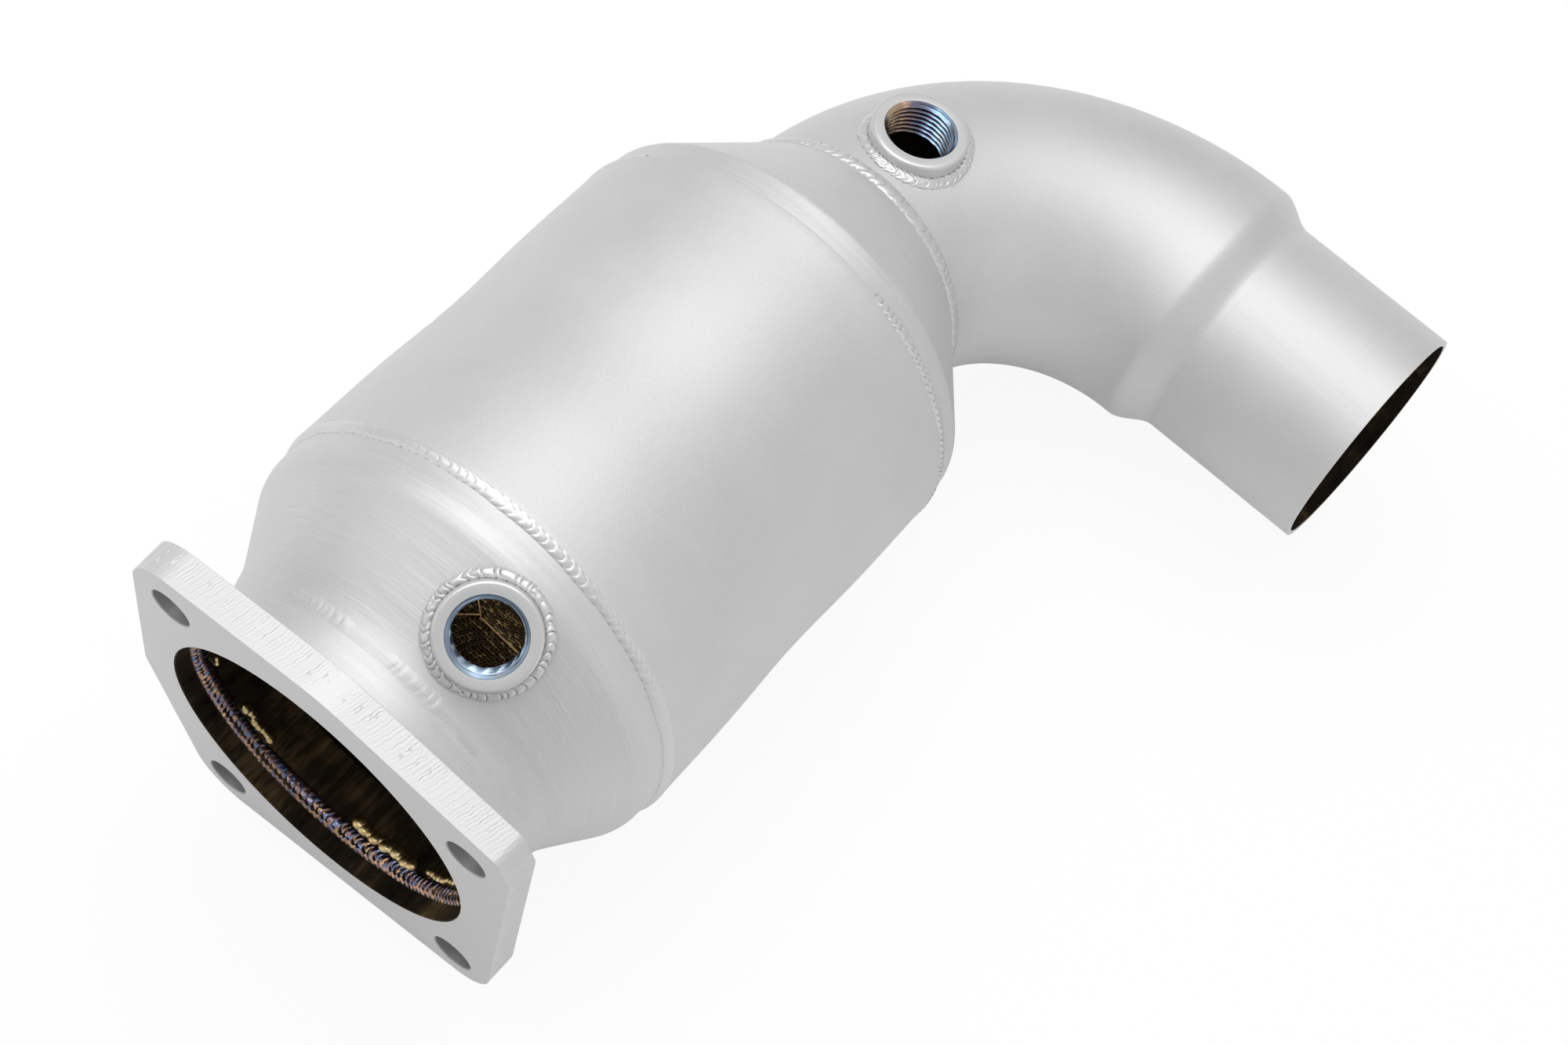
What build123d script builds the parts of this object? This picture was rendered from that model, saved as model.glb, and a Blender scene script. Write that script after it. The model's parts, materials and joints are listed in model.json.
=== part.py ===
"""A catalytic converter with a four-hole inlet flange, a foil honeycomb core and an elbow outlet.

Frame: the origin is the centre of the gas port on the flange's mating face, +X runs into the part
square to that face, and +Z is the side that carries both sensor bungs. Sizes are millimetres.
"""
from build123d import *
import math
import os

os.makedirs("parts", exist_ok=True)

# Inlet flange
FLANGE_THICKNESS = 8.9
PORT_RADIUS = 43.6
PORT_LAND = 5.0
BOLT_CIRCLE_RADIUS = 56.5
BOLT_HOLE_RADIUS = 5.5
BOLT_ANGLES = (37.0, 137.0, 217.0, 297.0)
FLANGE_CORNER_RADIUS = 1.6
FLANGE_LUG_RADIUS = 6.0
FLANGE_LUG_CORNER = (32.7, -59.9)

# Neck tube between the flange and the inlet cone
NECK_RADIUS = 44.1
NECK_WALL = 1.6
NECK_END = 19.8
NECK_BEVEL = 1.0

# Canister, on an axis of its own that dips against the flange's
CANISTER_START = 53.5
CANISTER_DIP = 7.25
CANISTER_LENGTH = 107.0
SHELL_WALL = 1.2
SHELL_INLET_RADIUS = 59.4
SHELL_INLET_LAND = 16.0
SHELL_WAIST_RADIUS = 57.85
SHELL_WAIST = (50.0, 62.0)
SHELL_SHOULDER = (35.0, 58.95)
SHELL_SECOND_CROWN = (81.0, 58.5)
SHELL_OUTLET_RADIUS = 58.0

# Foil core and its sleeve
MANTLE_START = 2.0
MANTLE_LENGTH = 96.0
MANTLE_RADIUS = SHELL_WAIST_RADIUS - SHELL_WALL
MANTLE_WALL = 1.0
CORE_INSET = 1.0
FOIL_PITCH = 5.2
FOIL_WALL = 0.9
FOIL_WEB_WALL = 1.6
CORE_RIM_WALL = 0.8
CORE_CLOCKING = 7.0
FOIL_WINDING_TURN = -30.0
CORE_SECTORS = 3

# Sheet cones
CONE_WALL = 1.5
INLET_COLLAR_RADIUS = 58.2
INLET_SHOULDER = -9.0
COLLAR_LAP = 5.0
OUTLET_COLLAR_RADIUS = 56.8
OUTLET_SHOULDER = 114.0
SHOULDER_FILLET = 5.0

# Elbow and outlet pipe
ELBOW_START = (-1.6, 3.8, 138.3)
ELBOW_LEAN_SIDE = -3.25
ELBOW_LEAN_DOWN = -5.75
ELBOW_CLOCKING = 176.3
ELBOW_RADIUS = 36.25
ELBOW_WALL = 1.5
ELBOW_BEND_RADIUS = 68.7
ELBOW_BEND_ANGLE = 89.0
ELBOW_TUCK = 2.5
CONE_SLEEVE_LENGTH = 1.5
CONE_SLEEVE_END = -1.0
PIPE_RADIUS = 31.75
PIPE_WALL = 1.5
SWAGE_START = 2.0
SWAGE_END = 12.2
PIPE_JOINT = 12.6
PIPE_JOINT_GAP = 1.2
PIPE_END = 57.4

# Sensor bungs, threaded M18 x 1.5
BUNG_RADIUS = 12.5
BUNG_THREAD_RADIUS = 8.2
BUNG_MOUTH_CHAMFER = 1.1
BUNG_EDGE_ROUND = 0.9
BUNG_WELD_WIDTH = 2.3
BUNG_WELD_HEIGHT = 1.7
BUNG_WELD_SLOPE = 0.3
INLET_BUNG_CLOCK = 104.7
INLET_BUNG_STATION = -22.0
INLET_BUNG_RADIUS_OUT = 50.3
INLET_BUNG_LEAN = 31.8
INLET_BUNG_STAND = 3.6
OUTLET_BUNG_BEND = 15.1
OUTLET_BUNG_TURN = 6.7
OUTLET_BUNG_LEAN = 4.7
OUTLET_BUNG_STAND = 3.6
BUNG_LENGTH = 11.0

# Weld beads
CONE_START = 21.4
NECK_BEAD_REACH = 1.8
NECK_BEAD_HEIGHT = 0.9
LAP_BEAD_LENGTH = 1.5
LAP_BEAD_OVERLAP = 0.7
LAP_BEAD_HEIGHT = 0.12
OUTLET_BEAD_FROM = 112.0
OUTLET_BEAD_SWEEP = 285.0
ELBOW_BEAD_LENGTH = 2.3
ELBOW_BEAD_OVERLAP = 0.8
ELBOW_BEAD_CLEARANCE = 0.02
INNER_BEAD_LENGTH = 3.6
INNER_BEAD_HEIGHT = 1.0
REAR_BEAD_LEG = 3.0
BUNG_WELD_DEPTH = 5.0
DRESSED_BEAD_HEIGHT = 0.15
DRIP_RADIUS = 2.8
DRIP_HEIGHT = 1.1
DRIP_PLACES = ((-20.4, 10.4), (-50.3, 10.3), (-109.9, 10.6), (-137.6, 11.5))


def along(plane, x, y, z):
    """Direction with the given parts along a plane's own axes."""
    return (plane.x_dir * x + plane.y_dir * y + plane.z_dir * z).normalized()


def section_of(plane):
    """Plane of a turned profile: x runs along the given plane's normal and y runs outwards."""
    return Plane(origin=plane.origin, x_dir=plane.z_dir, z_dir=-plane.x_dir)


def turned(plane, angle):
    """The plane turned about its own normal by an angle in degrees."""
    turn = math.radians(angle)
    return Plane(
        origin=plane.origin,
        x_dir=along(plane, math.cos(turn), math.sin(turn), 0),
        z_dir=plane.z_dir,
    )


def axis_of(plane):
    """Turning axis through a plane's origin, square to it."""
    return Axis(plane.origin, plane.z_dir)


def edge_at(builder, plane):
    """The builder's edge whose centre lies nearest to a plane's origin."""
    return builder.edges().sort_by(
        lambda edge: (edge.center(CenterOf.BOUNDING_BOX) - plane.origin).length
    )[0]


# Frames of the sub-assemblies
flange_plane = Plane(origin=(0, 0, 0), x_dir=(0, 1, 0), z_dir=(1, 0, 0))
flange_section = section_of(flange_plane)
dip = math.radians(CANISTER_DIP)
canister_plane = Plane(
    origin=(CANISTER_START, 0, 0),
    x_dir=(0, 1, 0),
    z_dir=(math.cos(dip), 0, -math.sin(dip)),
)
canister_section = section_of(canister_plane)

lean_side = math.tan(math.radians(ELBOW_LEAN_SIDE))
lean_down = math.tan(math.radians(ELBOW_LEAN_DOWN))
elbow_direction = along(canister_plane, lean_side, lean_down, 1)
across = canister_plane.x_dir
across = (across - elbow_direction * across.dot(elbow_direction)).normalized()
upright = elbow_direction.cross(across)
clocking = math.radians(ELBOW_CLOCKING)
bend_direction = across * math.cos(clocking) + upright * math.sin(clocking)
elbow_plane = Plane(
    origin=canister_plane.from_local_coords(ELBOW_START),
    x_dir=bend_direction,
    z_dir=elbow_direction,
)
bend_centre = elbow_plane.from_local_coords((ELBOW_BEND_RADIUS, 0, 0))
bend_axis = Axis(bend_centre, elbow_plane.y_dir)


def station_on_bend(angle):
    """Plane square to the elbow's centre line, a given number of degrees round the bend."""
    turn = math.radians(angle)
    place = elbow_plane.from_local_coords(
        (
            ELBOW_BEND_RADIUS * (1 - math.cos(turn)),
            0,
            ELBOW_BEND_RADIUS * math.sin(turn),
        )
    )
    return Plane(
        origin=place,
        x_dir=along(elbow_plane, math.cos(turn), 0, -math.sin(turn)),
        z_dir=along(elbow_plane, math.sin(turn), 0, math.cos(turn)),
    )


outlet_plane = station_on_bend(ELBOW_BEND_ANGLE)
outlet_section = section_of(outlet_plane)


# Bolt hole centres on the flange, in its own plane
def bolt_place(angle):
    """Centre of the bolt hole at a clock angle."""
    turn = math.radians(angle)
    return BOLT_CIRCLE_RADIUS * math.cos(turn), BOLT_CIRCLE_RADIUS * math.sin(turn)


# Inlet flange: a cut plate with six straight edges and a lug round the lowest hole
with BuildPart() as inlet_flange:
    with BuildSketch(flange_plane) as plate:
        with BuildLine():
            Polyline(
                (56.4, 39.9),
                (-0.8, 62.0),
                (-48.5, 51.3),
                (-53.4, 42.4),
                (-56.7, -27.0),
                (-55.1, -37.9),
                FLANGE_LUG_CORNER,
                (52.8, -12.4),
                close=True,
            )
        make_face()
        corners = plate.vertices().sort_by_distance(flange_plane.from_local_coords((*FLANGE_LUG_CORNER, 0)))
        fillet(corners[0], radius=FLANGE_LUG_RADIUS)
        fillet(corners[1:], radius=FLANGE_CORNER_RADIUS)
        Circle(PORT_RADIUS, mode=Mode.SUBTRACT)
        for bolt_angle in BOLT_ANGLES:
            with Locations(bolt_place(bolt_angle)):
                Circle(BOLT_HOLE_RADIUS, mode=Mode.SUBTRACT)
    extrude(amount=FLANGE_THICKNESS)
    with BuildSketch(flange_plane.offset(PORT_LAND)):
        Circle(NECK_RADIUS)
    extrude(amount=FLANGE_THICKNESS - PORT_LAND, mode=Mode.SUBTRACT)
inlet_flange.part.label = "inlet_flange"

# Neck: a short tube seated in the flange's rear counterbore, its front edge bevelled for the weld
with BuildPart() as inlet_neck:
    with BuildSketch(flange_section):
        with BuildLine():
            Polyline(
                (PORT_LAND, NECK_RADIUS),
                (NECK_END, NECK_RADIUS),
                (NECK_END, NECK_RADIUS - NECK_WALL),
                (PORT_LAND + NECK_BEVEL, NECK_RADIUS - NECK_WALL),
                (PORT_LAND, NECK_RADIUS - NECK_WALL + NECK_BEVEL),
                close=True,
            )
        make_face()
    revolve(axis=axis_of(flange_plane))
inlet_neck.part.label = "inlet_neck"


# Both cones are oblique sheet cones that end in a straight collar, which slips into the shell
def inlet_cone_form(inset):
    """Solid bounded by the cone's outer surface, or by its inner one when set in by the wall."""
    with BuildPart() as form:
        with BuildSketch(flange_plane.offset(CONE_START)):
            Circle(NECK_RADIUS - inset)
        with BuildSketch(canister_plane.offset(INLET_SHOULDER)):
            Circle(INLET_COLLAR_RADIUS - inset)
        loft()
        with BuildSketch(canister_plane.offset(INLET_SHOULDER)):
            Circle(INLET_COLLAR_RADIUS - inset)
        extrude(amount=COLLAR_LAP - INLET_SHOULDER)
        fillet(edge_at(form, canister_plane.offset(INLET_SHOULDER)), radius=SHOULDER_FILLET)
    return form.part


def outlet_cone_form(inset):
    """Solid bounded by the outlet cone's outer surface, or by its inner one when set in."""
    sleeve = elbow_plane.offset(CONE_SLEEVE_END - CONE_SLEEVE_LENGTH)
    shoulder = canister_plane.offset(OUTLET_SHOULDER)
    with BuildPart() as form:
        with BuildSketch(shoulder):
            Circle(OUTLET_COLLAR_RADIUS - inset)
        with BuildSketch(sleeve):
            Circle(ELBOW_RADIUS + CONE_WALL - inset)
        loft()
        with BuildSketch(canister_plane.offset(CANISTER_LENGTH - COLLAR_LAP)):
            Circle(OUTLET_COLLAR_RADIUS - inset)
        extrude(amount=OUTLET_SHOULDER - CANISTER_LENGTH + COLLAR_LAP)
        with BuildSketch(sleeve):
            Circle(ELBOW_RADIUS + CONE_WALL - inset)
        extrude(amount=CONE_SLEEVE_LENGTH)
        fillet(edge_at(form, shoulder), radius=SHOULDER_FILLET)
    return form.part


inlet_bung_base = canister_plane.from_local_coords(
    (
        INLET_BUNG_RADIUS_OUT * math.cos(math.radians(INLET_BUNG_CLOCK)),
        INLET_BUNG_RADIUS_OUT * math.sin(math.radians(INLET_BUNG_CLOCK)),
        INLET_BUNG_STATION,
    )
)
inlet_bung_axis = along(
    canister_plane,
    math.cos(math.radians(INLET_BUNG_LEAN)) * math.cos(math.radians(INLET_BUNG_CLOCK)),
    math.cos(math.radians(INLET_BUNG_LEAN)) * math.sin(math.radians(INLET_BUNG_CLOCK)),
    -math.sin(math.radians(INLET_BUNG_LEAN)),
)
inlet_bung_plane = Plane(
    origin=inlet_bung_base, x_dir=inlet_bung_axis.cross(canister_plane.z_dir), z_dir=inlet_bung_axis
)

with BuildPart() as inlet_cone:
    add(inlet_cone_form(0))
    add(inlet_cone_form(CONE_WALL), mode=Mode.SUBTRACT)
    with BuildSketch(inlet_bung_plane.offset(-BUNG_LENGTH)):
        Circle(BUNG_RADIUS)
    extrude(amount=2 * BUNG_LENGTH, mode=Mode.SUBTRACT)
inlet_cone.part.label = "inlet_cone"

# Canister shell: a rolled tube with a swaged waist that grips the core's sleeve


def shell_line(inset):
    """Points and tangents of the shell's profile, set in by a wall thickness."""
    Line((0, SHELL_INLET_RADIUS - inset), (SHELL_INLET_LAND, SHELL_INLET_RADIUS - inset))
    Spline(
        (SHELL_INLET_LAND, SHELL_INLET_RADIUS - inset),
        (SHELL_SHOULDER[0], SHELL_SHOULDER[1] - inset),
        (SHELL_WAIST[0], SHELL_WAIST_RADIUS - inset),
        tangents=[(1, 0), (1, 0)],
    )
    Line((SHELL_WAIST[0], SHELL_WAIST_RADIUS - inset), (SHELL_WAIST[1], SHELL_WAIST_RADIUS - inset))
    Spline(
        (SHELL_WAIST[1], SHELL_WAIST_RADIUS - inset),
        (SHELL_SECOND_CROWN[0], SHELL_SECOND_CROWN[1] - inset),
        (CANISTER_LENGTH, SHELL_OUTLET_RADIUS - inset),
        tangents=[(1, 0), (1, -0.02)],
    )


with BuildPart() as canister_shell:
    with BuildSketch(canister_section):
        with BuildLine():
            shell_line(0)
            shell_line(SHELL_WALL)
            Line((0, SHELL_INLET_RADIUS), (0, SHELL_INLET_RADIUS - SHELL_WALL))
            Line(
                (CANISTER_LENGTH, SHELL_OUTLET_RADIUS),
                (CANISTER_LENGTH, SHELL_OUTLET_RADIUS - SHELL_WALL),
            )
        make_face()
    revolve(axis=axis_of(canister_plane))
canister_shell.part.label = "canister_shell"

# Sleeve of the foil core
with BuildPart() as substrate_mantle:
    with BuildSketch(canister_plane.offset(MANTLE_START)):
        Circle(MANTLE_RADIUS)
        Circle(MANTLE_RADIUS - MANTLE_WALL, mode=Mode.SUBTRACT)
    extrude(amount=MANTLE_LENGTH)
substrate_mantle.part.label = "substrate_mantle"

# Foil core: three stacks of smooth foils that meet on a Y of webs. Each stack bows round its own
# winding point on the rim, a quarter turn from the web that its innermost foil lies along. The
# gaps between the foils run right through.
core_radius = MANTLE_RADIUS - MANTLE_WALL
core_rim = core_radius - CORE_RIM_WALL
core_plane = canister_plane.offset(MANTLE_START + CORE_INSET)
sector_angle = 360.0 / CORE_SECTORS
foil_count = int(math.sqrt(2) * core_rim / FOIL_PITCH)


def foil_gap(bisector, near, far):
    """Gap between two foils of the stack whose sector is centred on the bisector."""
    half_sector = math.radians(sector_angle / 2)
    winding = math.radians(FOIL_WINDING_TURN)
    apex = FOIL_WEB_WALL / 2 / math.sin(half_sector)
    reach = 2 * core_radius
    with BuildSketch(Plane.XY, mode=Mode.PRIVATE) as gap:
        with Locations((core_radius * math.cos(winding), core_radius * math.sin(winding))):
            Circle(far)
            Circle(near, mode=Mode.SUBTRACT)
        with BuildSketch(Plane.XY, mode=Mode.INTERSECT):
            with BuildLine():
                Polyline(
                    (apex, 0),
                    (apex + reach * math.cos(half_sector), reach * math.sin(half_sector)),
                    (apex + reach * math.cos(half_sector), -reach * math.sin(half_sector)),
                    close=True,
                )
            make_face()
        Circle(core_rim, mode=Mode.INTERSECT)
    return gap.sketch.rotate(Axis.Z, bisector)


with BuildPart() as foil_core:
    with BuildSketch(core_plane):
        Circle(core_radius)
        for sector in range(CORE_SECTORS):
            for turn in range(foil_count):
                add(
                    foil_gap(
                        CORE_CLOCKING + sector * sector_angle,
                        turn * FOIL_PITCH + FOIL_WALL,
                        (turn + 1) * FOIL_PITCH,
                    ),
                    mode=Mode.SUBTRACT,
                )
    extrude(amount=MANTLE_LENGTH - 2 * CORE_INSET)
foil_core.part.label = "foil_core"

# Outlet cone: collar inside the shell, sheet cone, and a short sleeve on the elbow's own axis
with BuildPart() as outlet_cone:
    add(outlet_cone_form(0))
    add(outlet_cone_form(CONE_WALL), mode=Mode.SUBTRACT)
outlet_cone.part.label = "outlet_cone"

# Elbow: one bent tube, tucked into the outlet cone and swaged down at its far end. Its bung stands
# a little to the outer side of the bend and leans back towards the inner side.
outlet_bung_station = station_on_bend(OUTLET_BUNG_BEND)
bung_turn = math.radians(OUTLET_BUNG_TURN)
bung_slant = math.radians(OUTLET_BUNG_TURN - OUTLET_BUNG_LEAN)
outlet_bung_foot = along(outlet_bung_station, -math.sin(bung_turn), -math.cos(bung_turn), 0)
outlet_bung_axis = along(outlet_bung_station, -math.sin(bung_slant), -math.cos(bung_slant), 0)
outlet_bung_plane = Plane(
    origin=outlet_bung_station.origin + outlet_bung_foot * ELBOW_RADIUS,
    x_dir=outlet_bung_station.z_dir,
    z_dir=outlet_bung_axis,
)

with BuildPart() as outlet_elbow:
    with BuildSketch(elbow_plane):
        Circle(ELBOW_RADIUS)
        Circle(ELBOW_RADIUS - ELBOW_WALL, mode=Mode.SUBTRACT)
    revolve(axis=bend_axis, revolution_arc=ELBOW_BEND_ANGLE)
    with BuildSketch(elbow_plane.offset(-ELBOW_TUCK)):
        Circle(ELBOW_RADIUS)
        Circle(ELBOW_RADIUS - ELBOW_WALL, mode=Mode.SUBTRACT)
    extrude(amount=ELBOW_TUCK)
    with BuildSketch(outlet_section):
        with BuildLine():
            for wall in (0, ELBOW_WALL):
                Line((0, ELBOW_RADIUS - wall), (SWAGE_START, ELBOW_RADIUS - wall))
                Spline(
                    (SWAGE_START, ELBOW_RADIUS - wall),
                    (SWAGE_END, PIPE_RADIUS - wall),
                    tangents=[(1, 0), (1, 0)],
                )
                Line((SWAGE_END, PIPE_RADIUS - wall), (PIPE_JOINT, PIPE_RADIUS - wall))
            Line((0, ELBOW_RADIUS), (0, ELBOW_RADIUS - ELBOW_WALL))
            Line((PIPE_JOINT, PIPE_RADIUS), (PIPE_JOINT, PIPE_RADIUS - ELBOW_WALL))
        make_face()
    revolve(axis=axis_of(outlet_plane))
    with BuildSketch(outlet_bung_plane.offset(-BUNG_LENGTH)):
        Circle(BUNG_RADIUS)
    extrude(amount=2 * BUNG_LENGTH, mode=Mode.SUBTRACT)
outlet_elbow.part.label = "outlet_elbow"

# Outlet pipe, butted to the swaged end
with BuildPart() as outlet_pipe:
    with BuildSketch(outlet_plane.offset(PIPE_JOINT + PIPE_JOINT_GAP)):
        Circle(PIPE_RADIUS)
        Circle(PIPE_RADIUS - PIPE_WALL, mode=Mode.SUBTRACT)
    extrude(amount=PIPE_END - PIPE_JOINT - PIPE_JOINT_GAP)
outlet_pipe.part.label = "outlet_pipe"


def sensor_bung(plane, stand):
    """Threaded bung: a turned ring with a rounded rim and a chamfered mouth."""
    section = section_of(plane)
    with BuildPart() as bung:
        with BuildSketch(section):
            with BuildLine():
                Polyline(
                    (stand - BUNG_LENGTH, BUNG_THREAD_RADIUS),
                    (stand - BUNG_MOUTH_CHAMFER, BUNG_THREAD_RADIUS),
                    (stand, BUNG_THREAD_RADIUS + BUNG_MOUTH_CHAMFER),
                    (stand, BUNG_RADIUS - BUNG_EDGE_ROUND),
                )
                RadiusArc(
                    (stand, BUNG_RADIUS - BUNG_EDGE_ROUND),
                    (stand - BUNG_EDGE_ROUND, BUNG_RADIUS),
                    BUNG_EDGE_ROUND,
                )
                Polyline(
                    (stand - BUNG_EDGE_ROUND, BUNG_RADIUS),
                    (stand - BUNG_LENGTH, BUNG_RADIUS),
                    (stand - BUNG_LENGTH, BUNG_THREAD_RADIUS),
                )
            make_face()
        revolve(axis=axis_of(plane))
    return bung.part


with BuildPart() as inlet_sensor_bung:
    add(sensor_bung(inlet_bung_plane, INLET_BUNG_STAND))
inlet_sensor_bung.part.label = "inlet_sensor_bung"

with BuildPart() as outlet_sensor_bung:
    add(sensor_bung(outlet_bung_plane, OUTLET_BUNG_STAND))
outlet_sensor_bung.part.label = "outlet_sensor_bung"

def elbow_form(thickening):
    """Filled bent tube with its outer surface moved out by a thickening."""
    with BuildPart() as form:
        with BuildSketch(elbow_plane):
            Circle(ELBOW_RADIUS + thickening)
        revolve(axis=bend_axis, revolution_arc=ELBOW_BEND_ANGLE)
    return form.part


def bung_bead(plane, skin):
    """Ring of weld metal round a bung, under a skin that follows the sheet at the bead's height."""
    foot = BUNG_RADIUS + BUNG_WELD_WIDTH
    with BuildPart() as bead:
        with BuildSketch(section_of(plane)):
            with BuildLine():
                Line((-BUNG_WELD_DEPTH, BUNG_RADIUS), (BUNG_WELD_HEIGHT, BUNG_RADIUS))
                Spline(
                    (BUNG_WELD_HEIGHT, BUNG_RADIUS),
                    (BUNG_WELD_HEIGHT * 0.5, BUNG_RADIUS + BUNG_WELD_WIDTH * 0.68),
                    (0, foot),
                    tangents=[(0.35, 1), (-1, 0.5)],
                )
                Polyline(
                    (0, foot),
                    (-BUNG_WELD_DEPTH, foot + BUNG_WELD_SLOPE * BUNG_WELD_DEPTH),
                    (-BUNG_WELD_DEPTH, BUNG_RADIUS),
                )
            make_face()
        revolve(axis=axis_of(plane))
        add(skin, mode=Mode.INTERSECT)
    return bead.part


with BuildPart() as inlet_bung_weld:
    add(bung_bead(inlet_bung_plane, inlet_cone_form(-BUNG_WELD_HEIGHT)))
    add(inlet_cone_form(0), mode=Mode.SUBTRACT)
inlet_bung_weld.part.label = "inlet_bung_weld"


def ring_bead(plane, corners, crown, sweep=360.0):
    """Weld bead: a section with straight sides through the corners and one bowed outer side.

    The first and the last corner are joined by an arc through the crown point.
    """
    with BuildPart() as bead:
        with BuildSketch(section_of(plane)):
            with BuildLine():
                Polyline(*corners)
                ThreePointArc(corners[-1], crown, corners[0])
            make_face()
        revolve(axis=axis_of(plane), revolution_arc=sweep)
    return bead.part


# Flange welds: one inside the port on the neck's bevel, one fillet behind the flange
neck_bore = NECK_RADIUS - NECK_WALL
with BuildPart() as flange_inner_weld:
    add(
        ring_bead(
            flange_plane,
            (
                (PORT_LAND, neck_bore + 0.8 * NECK_BEVEL),
                (PORT_LAND, neck_bore + NECK_BEVEL),
                (PORT_LAND + NECK_BEVEL, neck_bore),
                (PORT_LAND + INNER_BEAD_LENGTH, neck_bore),
            ),
            (PORT_LAND + 0.5 * INNER_BEAD_LENGTH, neck_bore - 0.6 * INNER_BEAD_HEIGHT),
        )
    )
flange_inner_weld.part.label = "flange_inner_weld"

with BuildPart() as flange_rear_weld:
    add(
        ring_bead(
            flange_plane,
            (
                (FLANGE_THICKNESS + REAR_BEAD_LEG, NECK_RADIUS),
                (FLANGE_THICKNESS, NECK_RADIUS),
                (FLANGE_THICKNESS, NECK_RADIUS + REAR_BEAD_LEG),
            ),
            (FLANGE_THICKNESS + 0.58 * REAR_BEAD_LEG, NECK_RADIUS + 0.58 * REAR_BEAD_LEG),
        )
    )
flange_rear_weld.part.label = "flange_rear_weld"

# Drips of weld metal that came through the neck's wall, each the cap of a small ball
with BuildPart() as weld_drips:
    with BuildSketch(flange_plane):
        Circle(neck_bore)
    extrude(amount=NECK_END)
    with Locations(
        [
            flange_plane.from_local_coords(
                (
                    (neck_bore + DRIP_RADIUS - DRIP_HEIGHT) * math.cos(math.radians(drip_angle)),
                    (neck_bore + DRIP_RADIUS - DRIP_HEIGHT) * math.sin(math.radians(drip_angle)),
                    drip_station,
                )
            )
            for drip_angle, drip_station in DRIP_PLACES
        ]
    ):
        Sphere(DRIP_RADIUS, mode=Mode.INTERSECT)
    add(flange_inner_weld.part, mode=Mode.SUBTRACT)
weld_drips.part.label = "weld_drips"

# Neck weld: fills the joint and crowns over it on to the cone
with BuildPart() as neck_weld:
    add(
        ring_bead(
            flange_plane,
            (
                (NECK_END - NECK_BEAD_REACH, NECK_RADIUS),
                (NECK_END, NECK_RADIUS),
                (NECK_END, neck_bore),
                (CONE_START + NECK_BEAD_REACH + 0.4, neck_bore),
                (CONE_START + NECK_BEAD_REACH + 0.4, NECK_RADIUS + NECK_BEAD_HEIGHT),
            ),
            (0.5 * (NECK_END + CONE_START), NECK_RADIUS + 1.4 * NECK_BEAD_HEIGHT),
        )
    )
    add(inlet_cone_form(0), mode=Mode.SUBTRACT)
neck_weld.part.label = "neck_weld"

# Canister welds: a lap bead all round at the inlet, and an unfinished one at the outlet
with BuildPart() as inlet_cone_weld:
    add(
        ring_bead(
            canister_plane,
            (
                (-LAP_BEAD_LENGTH, INLET_COLLAR_RADIUS),
                (0, INLET_COLLAR_RADIUS),
                (0, SHELL_INLET_RADIUS),
                (LAP_BEAD_OVERLAP, SHELL_INLET_RADIUS),
            ),
            (-0.3 * LAP_BEAD_LENGTH, SHELL_INLET_RADIUS + LAP_BEAD_HEIGHT),
        )
    )
inlet_cone_weld.part.label = "inlet_cone_weld"

with BuildPart() as outlet_cone_weld:
    add(
        ring_bead(
            turned(canister_plane, OUTLET_BEAD_FROM - 90),
            (
                (CANISTER_LENGTH + LAP_BEAD_LENGTH, OUTLET_COLLAR_RADIUS),
                (CANISTER_LENGTH, OUTLET_COLLAR_RADIUS),
                (CANISTER_LENGTH, SHELL_OUTLET_RADIUS),
            ),
            (
                CANISTER_LENGTH + 0.58 * LAP_BEAD_LENGTH,
                OUTLET_COLLAR_RADIUS + 0.75 * SHELL_WALL,
            ),
            OUTLET_BEAD_SWEEP,
        )
    )
outlet_cone_weld.part.label = "outlet_cone_weld"

# Elbow weld. Its toe stands clear of the tube where that begins to bend.
with BuildPart() as elbow_weld:
    add(
        ring_bead(
            elbow_plane.offset(CONE_SLEEVE_END),
            (
                (ELBOW_BEAD_LENGTH, ELBOW_RADIUS + ELBOW_BEAD_CLEARANCE),
                (0, ELBOW_RADIUS),
                (0, ELBOW_RADIUS + CONE_WALL),
                (-ELBOW_BEAD_OVERLAP, ELBOW_RADIUS + CONE_WALL),
            ),
            (0.4 * ELBOW_BEAD_LENGTH, ELBOW_RADIUS + 0.9 * CONE_WALL),
        )
    )
elbow_weld.part.label = "elbow_weld"

# The outlet bung's bead stops at the elbow weld
with BuildPart() as outlet_bung_weld:
    add(bung_bead(outlet_bung_plane, elbow_form(BUNG_WELD_HEIGHT)))
    add(elbow_form(0), mode=Mode.SUBTRACT)
    add(elbow_weld.part, mode=Mode.SUBTRACT)
outlet_bung_weld.part.label = "outlet_bung_weld"

# Pipe weld, ground back almost flush
with BuildPart() as outlet_pipe_weld:
    add(
        ring_bead(
            outlet_plane,
            (
                (PIPE_JOINT, PIPE_RADIUS),
                (PIPE_JOINT, PIPE_RADIUS - PIPE_WALL),
                (PIPE_JOINT + PIPE_JOINT_GAP, PIPE_RADIUS - PIPE_WALL),
                (PIPE_JOINT + PIPE_JOINT_GAP, PIPE_RADIUS),
            ),
            (PIPE_JOINT + 0.5 * PIPE_JOINT_GAP, PIPE_RADIUS + DRESSED_BEAD_HEIGHT),
        )
    )
outlet_pipe_weld.part.label = "outlet_pipe_weld"

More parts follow.
